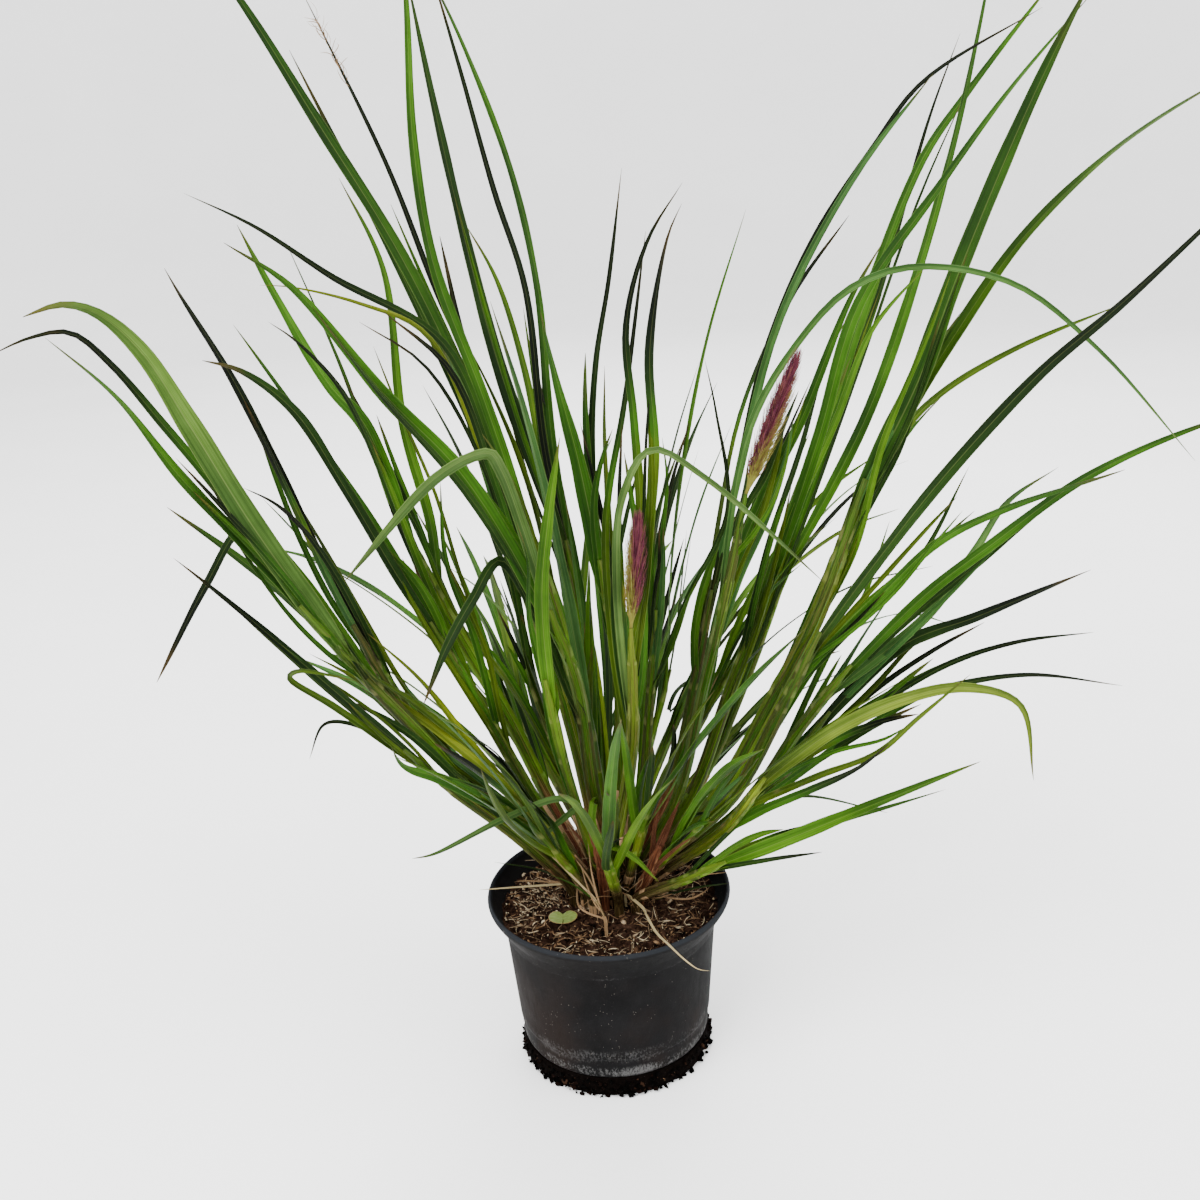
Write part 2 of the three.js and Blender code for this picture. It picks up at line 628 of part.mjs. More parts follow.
// The ways to try, in turn: none, then further and further.
const ways = [];
for (let i = -SWAYS; i <= SWAYS; i++) {
  for (let k = -SIDE_SWAYS; k <= SIDE_SWAYS; k++) ways.push([i * SWAY_STEP, k * SIDE_SWAY_STEP]);
}
const effort = ([along, aside]) => Math.abs(along) + 5 * Math.abs(aside);
ways.sort((a, b) => effort(a) - effort(b));

// Feet of all shoots, on an even spiral: the more a shoot leans the further out it stands, towards
// the side that it leans to. Two shoots trade places while that brings them nearer to their wishes.
function feetOf(shoots) {
  const leans = shoots.map((shoot, i) => ({ i, ...(shoot.stemLength ? shoot : leanOfSeen(shoot)) }))
    .filter(({ i }) => !shoots[i].foot)
    .sort((a, b) => a.lean - b.lean);
  const reachOf = (rank) => CROWN_RADIUS * Math.sqrt((rank + 0.5) / leans.length);
  const placeAt = (reach, angle) => new THREE.Vector2(
    CROWN.x + reach * Math.cos(angle),
    CROWN.y + reach * Math.sin(angle),
  );
  const places = leans.map((_, rank) => placeAt(reachOf(rank), rank * GOLDEN_ANGLE));
  const wishes = leans.map(({ azimuth }, rank) => placeAt(reachOf(rank), radians(azimuth)));
  const miss = (place, wish) => places[place].distanceToSquared(wishes[wish]);
  let traded = true;
  while (traded) {
    traded = false;
    for (let a = 0; a < places.length; a++) {
      for (let b = a + 1; b < places.length; b++) {
        if (miss(a, b) + miss(b, a) >= miss(a, a) + miss(b, b) - 1e-6) continue;
        [places[a], places[b]] = [places[b], places[a]];
        traded = true;
      }
    }
  }
  const feet = shoots.map((shoot) => (shoot.foot ? new THREE.Vector2(...shoot.foot) : undefined));
  leans.forEach(({ i }, rank) => { feet[i] = places[rank]; });
  return feet;
}

// Which way a seen shoot leans, from the clump's middle to the end of its stem.
function leanOfSeen(shoot) {
  const end = placed(shoot.stem[shoot.stem.length - 1], shoot.near);
  const [dx, dy] = [end.x - CROWN.x, end.y - CROWN.y];
  return {
    azimuth: THREE.MathUtils.radToDeg(Math.atan2(dy, dx)),
    lean: THREE.MathUtils.radToDeg(Math.atan2(Math.hypot(dx, dy), end.z - SOIL_LEVEL)),
  };
}

// The stem's path: straight up out of its hole, then along what is seen or out at its lean.
function stemPoints(shoot, foot) {
  const points = [
    new THREE.Vector3(foot.x, foot.y, SOIL_LEVEL - HOLE_DEPTH),
    new THREE.Vector3(foot.x, foot.y, SOIL_LEVEL + STUB),
    new THREE.Vector3(foot.x, foot.y, SOIL_LEVEL + 2 * STUB),
  ];
  if (!shoot.stemLength) return [...points, ...placedPath(shoot.stem, -foot.y, shoot.near)];
  return [...points, ...leaningPath(points[2], shoot.azimuth, shoot.lean, 6, shoot.stemLength, 3)];
}

// The crowd's blades are drawn from seeded numbers: a fan about the stem's own direction.
const random = seeded(CROWD_SEED);
for (const shoot of CROWD) {
  shoot.thick = 5 + 3 * random();
  const count = 3 + Math.floor(2 * random());
  shoot.blades = Array.from({ length: count }, (_, i) => ({
    from: 0.92 - 0.16 * i,
    azimuth: shoot.azimuth + (random() - 0.5) * (70 - shoot.lean / 2),
    lean: shoot.lean - 8 + 16 * random(),
    bend: 10 + shoot.bend * random(),
    length: (shoot.stemLength * 0.9 + 190 * random()) * (1 - 0.1 * i),
    width: 4.5 + 5 * random(),
  }));
}
const SHOOTS = [...SEEN, ...CROWD, ...DRY];
for (const shoot of SHOOTS) {
  for (const blade of shoot.blades) {
    blade.turn = [(random() - 0.5) * 50, (random() - 0.5) * 130];
  }
}

function bladePoints(blade, axis) {
  const start = [blade.from - 0.05, blade.from].map((share) => onStem(axis, share));
  if (blade.path) return [...start, ...placedPath(blade.path, -start[1].y, blade.near)];
  return [...start, ...leaningPath(start[1], blade.azimuth, blade.lean, blade.bend, blade.length, 4)];
}

// Solids

function solidOf(geometry) {
  const bare = geometry.clone();
  bare.deleteAttribute("normal");
  bare.deleteAttribute("uv");
  const merged = mergeVertices(bare, 1e-4);
  return new wasm.Manifold(new wasm.Mesh({
    numProp: 3,
    vertProperties: merged.attributes.position.array,
    triVerts: new Uint32Array(merged.index.array),
  }));
}

function geometryOf(solid) {
  const mesh = solid.getMesh();
  const geometry = new THREE.BufferGeometry();
  geometry.setAttribute("position", new THREE.BufferAttribute(mesh.vertProperties, 3));
  geometry.setIndex(new THREE.BufferAttribute(mesh.triVerts, 1));
  geometry.computeVertexNormals();
  return geometry;
}

function overlaps(a, b) {
  const [boxA, boxB] = [a.boundingBox(), b.boundingBox()];
  const apart = [0, 1, 2].some((k) => boxA.min[k] > boxB.max[k] || boxB.min[k] > boxA.max[k]);
  return !apart && !a.intersect(b).isEmpty();
}

function upright(radius, low, high, sides, x, y) {
  const geometry = new THREE.CylinderGeometry(radius, radius, high - low, sides);
  geometry.rotateX(Math.PI / 2).rotateZ(Math.PI / 2).translate(x, y, (low + high) / 2);
  return solidOf(geometry);
}

// The pot's outer wall as radius against height, from its foot up to the rolled rim.
const potWall = [
  [FOOT_RADIUS - 1.4, 0],
  [FOOT_RADIUS, 1.5],
  [FOOT_RADIUS + 0.4, FOOT_HEIGHT],
  [BODY_FOOT_RADIUS, FOOT_HEIGHT + 3],
  [BODY_FOOT_RADIUS + 0.6, BAND_HEIGHT],
  [BODY_FOOT_RADIUS + 1.5, BAND_HEIGHT + 1.5],
  [BODY_TOP_RADIUS, FLARE_START],
  [BODY_TOP_RADIUS + 2.6, FLARE_START + 8],
  [BODY_TOP_RADIUS + 7.4, FLARE_START + 15.5],
  [RIM_RADIUS - 0.8, FLARE_START + 21],
  [RIM_RADIUS, POT_HEIGHT - 2.4],
  [RIM_RADIUS - 1.4, POT_HEIGHT],
];

// Its lining, from the rim down to the floor.
const potLining = [
  [RIM_RADIUS - 2.6, POT_HEIGHT - 0.7],
  [RIM_RADIUS - 3.6, FLARE_START + 20.6],
  [BODY_TOP_RADIUS + 5.6, FLARE_START + 16],
  [BODY_TOP_RADIUS + 1, FLARE_START + 8.6],
  [BODY_TOP_RADIUS - WALL, FLARE_START],
  [BODY_FOOT_RADIUS - WALL, FOOT_HEIGHT + 4],
  [FOOT_RADIUS - WALL, FOOT_HEIGHT],
  [FOOT_RADIUS - WALL - 0.3, WALL + 1],
];

function makePot() {
  const underside = [[0, 0], [18, 0], [21, BASE_LIFT], [47, BASE_LIFT], [50, 0]];
  const floor = [[49, WALL], [46, BASE_LIFT + WALL], [0, BASE_LIFT + WALL]];
  const profile = [...underside, ...potWall, ...potLining, ...floor];
  const points = profile.map(([radius, z]) => new THREE.Vector2(radius, z));
  const turned = new THREE.LatheGeometry(points, POT_SIDES);
  turned.rotateX(Math.PI / 2);
  let pot = solidOf(turned);
  for (let i = 0; i < DRAIN_HOLES; i++) {
    const a = (2 * Math.PI * i) / DRAIN_HOLES;
    const [x, y] = [DRAIN_CIRCLE * Math.cos(a), DRAIN_CIRCLE * Math.sin(a)];
    pot = pot.subtract(upright(DRAIN_RADIUS, -1, 9, STEM_SIDES, x, y));
  }
  return pot;
}

// Lumps and dips of the soil's surface, as a sum of crossed waves.
function soilRelief(x, y) {
  return SOIL_RELIEF * (
    0.5 * Math.sin(x * 0.21 + 1.3) * Math.cos(y * 0.17 - 0.4) +
    0.3 * Math.sin(x * 0.47 - y * 0.39 + 2.1) +
    0.2 * Math.cos(x * 0.83 + y * 0.71)
  );
}

function soilHeight(x, y) {
  const fromCrown = Math.hypot(x - CROWN.x, (y - CROWN.y) / 0.9);
  const heap = 3 * Math.exp(-((fromCrown / 42) ** 2));
  return SOIL_LEVEL - 1.5 + heap + soilRelief(x, y);
}

// The soil: the inside of the pot up to its surface, less a hole for each foot.
function makeSoil(shoots, feet) {
  const wallAt = (z) => {
    const lining = [...potLining].reverse();
    const i = Math.max(1, lining.findIndex(([, height]) => height >= z));
    const [[r0, z0], [r1, z1]] = [lining[i - 1], lining[i]];
    return lerp(r0, r1, (z - z0) / (z1 - z0)) * Math.cos(Math.PI / POT_SIDES) - SOIL_GAP;
  };
  const circle = (radius, height) => Array.from({ length: SOIL_SIDES }, (_, k) => {
    const a = (2 * Math.PI * k) / SOIL_SIDES;
    const [x, y] = [radius * Math.cos(a), radius * Math.sin(a)];
    return new THREE.Vector3(x, y, height === undefined ? soilHeight(x, y) : height);
  });
  const low = BASE_LIFT + WALL + SEAT;
  const rings = [
    circle(FOOT_RADIUS - WALL - 2, low),
    circle(wallAt(FOOT_HEIGHT), FOOT_HEIGHT),
    circle(wallAt(FOOT_HEIGHT + 4), FOOT_HEIGHT + 4.5),
    circle(wallAt(FLARE_START), FLARE_START),
    circle(wallAt(SOIL_LEVEL - 3)),
  ];
  for (let i = SOIL_RINGS - 1; i > 0; i--) rings.push(circle((wallAt(SOIL_LEVEL - 3) * i) / SOIL_RINGS));
  const apex = new THREE.Vector3(0, 0, soilHeight(0, 0));
  let soil = solidFromRings(rings, apex);
  feet.forEach(({ x, y }, i) => {
    const radius = footRadius(shoots[i]) + HOLE_GAP;
    soil = soil.subtract(upright(radius, SOIL_LEVEL - HOLE_DEPTH - 0.4, SOIL_LEVEL + 12, STEM_SIDES, x, y));
  });
  return soil;
}

// Wet soil and root ends that cling round the pot's foot, a ragged ring under the body's step.
function makeClingingSoil() {
  const random = seeded(CLING_SEED);
  const ragged = Array.from({ length: CLING_SIDES }, () => random() * random());
  const ring = (out, height) => ragged.map((rag, k) => {
    const a = (2 * Math.PI * k) / CLING_SIDES;
    const radius = FOOT_RADIUS + out * (1.2 + CLING_RAG * rag);
    const drop = 4 * out * ragged[(k + 7) % CLING_SIDES];
    return new THREE.Vector3(radius * Math.cos(a), radius * Math.sin(a), height - drop);
  });
  const level = (radius, height) => ragged.map((_, k) => {
    const a = (2 * Math.PI * k) / CLING_SIDES;
    return new THREE.Vector3(radius * Math.cos(a), radius * Math.sin(a), height);
  });
  const top = FOOT_HEIGHT - 1;
  const rings = [
    level(FOOT_RADIUS + 1.4, SEAT),
    ring(0.9, 5.5),
    ring(1, top - 3),
    level(FOOT_RADIUS + 1.6, top),
  ];
  const within = (FOOT_RADIUS + 0.4 + SEAT) / Math.cos(Math.PI / CLING_SIDES);
  return solidFromRings(rings).subtract(upright(within, -1, top + 1, CLING_SIDES, 0, 0));
}

// One leafy shoot: its stem and blades fused, each blade swayed until it is clear of the rest. A
// blade that finds no clear way is left out.
function makeShoot(shoot, foot, others) {
  const clearOf = (solid) => others.every((other) => !overlaps(solid, other));
  const plain = stemPoints(shoot, foot);
  for (const stemSway of ways) {
    const points = swayed(plain, 3, stemSway);
    const facing = facingOf(shoot, points);
    const { stem, axis } = stemSolid(shoot, points, facing);
    if (!clearOf(stem)) continue;
    let solid = stem;
    for (const blade of shoot.blades) {
      const path = bladePoints(blade, axis);
      const bladeFacing = facingOf({ azimuth: blade.azimuth }, path);
      const sway = ways.find((way) =>
        clearOf(bladeSolid(blade, swayed(path, 2, way), bladeFacing, CLEARANCE)));
      if (sway === undefined) continue;
      solid = solid.add(bladeSolid(blade, swayed(path, 2, sway), bladeFacing));
    }
    return { solid: solid.simplify(SLIVER), end: points[points.length - 1] };
  }
  throw new Error(shoot.name + ": its stem finds no clear way");
}

// A flower head: a slim core with narrow spikelets standing out of it, seated on its stem's end.
function makeHead(shoot, stemEnd, others) {
  const tip = placed(shoot.head.tip, shoot.head.near);
  const axis = tip.clone().sub(stemEnd).normalize();
  const side = new THREE.Vector3().crossVectors(axis, forward).normalize();
  const away = new THREE.Vector3().crossVectors(axis, side);
  const start = stemEnd.clone().addScaledVector(axis, SEAT);
  const length = tip.distanceTo(start) - SPIKELET_LENGTH * 0.6;
  const radial = (angle) => side.clone().multiplyScalar(Math.cos(angle))
    .addScaledVector(away, Math.sin(angle));
  const coreShares = [0, 0.12, 0.35, 0.7, 0.92];
  const coreRadii = [1.2, 1.4, 1, 0.8, 0.45];
  const rings = coreShares.map((share, i) => Array.from({ length: STEM_SIDES }, (_, k) => {
    const radius = i < 2 ? coreRadii[i] : shoot.head.radius * coreRadii[i];
    const centre = start.clone().addScaledVector(axis, length * share);
    return centre.addScaledVector(radial((2 * Math.PI * k) / STEM_SIDES), radius);
  }));
  let head = solidFromRings(rings, start.clone().addScaledVector(axis, length));
  for (let i = 0; i < shoot.head.spikelets; i++) {
    const share = 0.14 + (0.76 * (i + 0.5)) / shoot.head.spikelets;
    const out = radial(i * GOLDEN_ANGLE);
    const lean = radians(lerp(20, 12, share));
    const along = axis.clone().multiplyScalar(Math.cos(lean)).addScaledVector(out, Math.sin(lean));
    const root = start.clone().addScaledVector(axis, length * share - 1).addScaledVector(out, 0.6);
    const base = Array.from({ length: 3 }, (_, k) => root.clone().addScaledVector(
      radial((2 * Math.PI * k) / 3 + i * GOLDEN_ANGLE), SPIKELET_RADIUS));
    const spikelet = solidFromRings([base], root.clone().addScaledVector(along, SPIKELET_LENGTH));
    if (others.every((other) => !overlaps(spikelet, other))) head = head.add(spikelet);
  }
  return head.simplify(SLIVER);
}

// The fallen leaf: a round blade with a notch at its stalk, laid on the soil.
function makeFallenLeaf(soil) {
  const rim = Array.from({ length: LEAF_SIDES }, (_, k) => {
    const a = (2 * Math.PI * (k + 0.5)) / LEAF_SIDES;
    const notch = 1 - 0.45 * Math.exp(-((Math.PI / 2 - a) ** 2) / 0.12);
    return [LEAF_RADIUS * notch * Math.cos(a), LEAF_RADIUS * 0.86 * notch * Math.sin(a)];
  });
  const layer = (scale, lift) => rim.map(([x, y]) => new THREE.Vector3(
    LEAF_PLACE.x + x * scale,
    LEAF_PLACE.y + y * scale,
    SOIL_LEVEL + 20 + lift + 0.012 * (x * x + y * y) * scale ** 2,
  ));
  const top = new THREE.Vector3(LEAF_PLACE.x, LEAF_PLACE.y, SOIL_LEVEL + 20 + LEAF_THICK);
  const layers = [layer(0.4, 0), layer(1, 0.2), layer(1, LEAF_THICK), layer(0.4, LEAF_THICK)];
  let leaf = solidFromRings(layers, top);
  for (let i = 0; i < 3; i++) leaf = leaf.translate([0, 0, SEAT - leaf.minGap(soil, 60)]);
  return leaf;
}

// Materials, as the photograph shows them

const plastic = new THREE.MeshStandardMaterial({ color: 0x242526, roughness: 0.5, metalness: 0 });
const earth = new THREE.MeshStandardMaterial({ color: 0x4a3426, roughness: 0.95, metalness: 0 });
const green = new THREE.MeshStandardMaterial({ color: 0x4c7a25, roughness: 0.55, metalness: 0 });
const straw = new THREE.MeshStandardMaterial({ color: 0xa68a5b, roughness: 0.8, metalness: 0 });
const redhead = new THREE.MeshStandardMaterial({ color: 0x8a4652, roughness: 0.8, metalness: 0 });
const paleLeaf = new THREE.MeshStandardMaterial({ color: 0x9aad52, roughness: 0.6, metalness: 0 });

const plant = new THREE.Group();
const solids = [];

function addNode(name, solid, material) {
  const mesh = new THREE.Mesh(geometryOf(solid), material.clone());
  mesh.name = name;
  plant.add(mesh);
  solids.push(solid);
}

const feet = feetOf(SHOOTS);
const soil = makeSoil(SHOOTS, feet);
addNode("pot", makePot(), plastic);
addNode("soil", soil, earth);
addNode("clinging_soil", makeClingingSoil(), earth);
addNode("fallen_leaf", makeFallenLeaf(soil), paleLeaf);

// The shoots with a flower head come first, so that the others keep clear of the heads.
const order = SHOOTS.map((shoot, i) => ({ shoot, foot: feet[i] }));
order.sort((a, b) => Number(Boolean(b.shoot.head)) - Number(Boolean(a.shoot.head)));
for (const { shoot, foot } of order) {
  const { solid, end } = makeShoot(shoot, foot, solids);
  addNode(shoot.name, solid, shoot.name.startsWith("dry") ? straw : green);
  if (shoot.head) addNode(shoot.name.replace("shoot", "head"), makeHead(shoot, end, solids), redhead);
}

export default plant;
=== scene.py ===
"""A redhead fountain grass in its black nursery pot, dressed for a studio picture.

Each blade, sheath, head and the pot is worked out again on the paths of its solid, finer and with
its own finish. Lengths are in millimetres and become metres where a mesh is made. The origin is on
the pot's axis at its base, +Z is up and -Y faces the viewer.
"""

import math

import bpy
import numpy as np
from mathutils import Matrix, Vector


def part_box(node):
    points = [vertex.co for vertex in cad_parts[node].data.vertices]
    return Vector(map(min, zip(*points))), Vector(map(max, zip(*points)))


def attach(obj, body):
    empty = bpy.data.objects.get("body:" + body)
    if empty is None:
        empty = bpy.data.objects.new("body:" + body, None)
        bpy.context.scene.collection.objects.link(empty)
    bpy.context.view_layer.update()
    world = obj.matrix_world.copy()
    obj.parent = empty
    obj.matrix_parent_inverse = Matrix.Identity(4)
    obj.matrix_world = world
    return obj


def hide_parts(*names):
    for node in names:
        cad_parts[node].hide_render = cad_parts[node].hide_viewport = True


bl_info = {
    "name": "Potted Redhead Fountain Grass",
    "version": (1, 0, 0),
    "blender": (4, 5, 0),
    "location": "3D View > Sidebar > Grass",
    "description": "Builds a potted fountain grass, piece by piece, on its packed solids",
    "category": "Add Mesh",
}

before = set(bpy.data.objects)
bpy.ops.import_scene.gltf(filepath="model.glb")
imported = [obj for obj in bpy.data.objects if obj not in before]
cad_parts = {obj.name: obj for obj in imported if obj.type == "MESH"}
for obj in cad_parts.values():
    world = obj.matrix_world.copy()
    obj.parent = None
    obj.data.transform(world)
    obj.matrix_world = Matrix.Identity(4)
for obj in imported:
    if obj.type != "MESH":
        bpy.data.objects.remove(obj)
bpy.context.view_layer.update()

# Pot, soil and crown, in millimetres
POT_HEIGHT = 126
RIM_RADIUS = 85
BODY_TOP_RADIUS = 73.5
BODY_FOOT_RADIUS = 66.5
FOOT_RADIUS = 64
FOOT_HEIGHT = 14
BAND_HEIGHT = 30
FLARE_START = 100
WALL = 1.6
BASE_LIFT = 3
DRAIN_HOLES = 6
DRAIN_RADIUS = 4.5
DRAIN_CIRCLE = 35
SOIL_LEVEL = 112
SOIL_RELIEF = 1.6
HOLE_DEPTH = 18
STEM_DEPTH = 1.9
STUB = 5
FOOT_STEM_RADIUS = 2.9
CROWN = (6, 16)
CROWN_RADIUS = 34
GOLDEN_ANGLE = 2.39996
# A full turn, as the random draws have it
TURN = 6.283
# Where the soil's top meets the pot's wall, from the middle
SOIL_EDGE = 76.2
# A blade is rooted this share of the stem below the place where it leaves
ROOTED = 0.05
# The share of the stem over which its round foot becomes flat
FLATTENS = 0.35
FOLD = 0.22
LEAF_PLACE = (-33, -15)
LEAF_RADIUS = 10

# Where the photograph was taken from: the eye's place, where it looks, and its focal length in pixels
EYE = np.array([-16.0, -847.0, 658.0])
YAW, PITCH, ROLL = math.radians(1.45), math.radians(20.6), math.radians(-3.25)
FOCAL_PIXELS = 1400
FRAME_CENTRE = 600

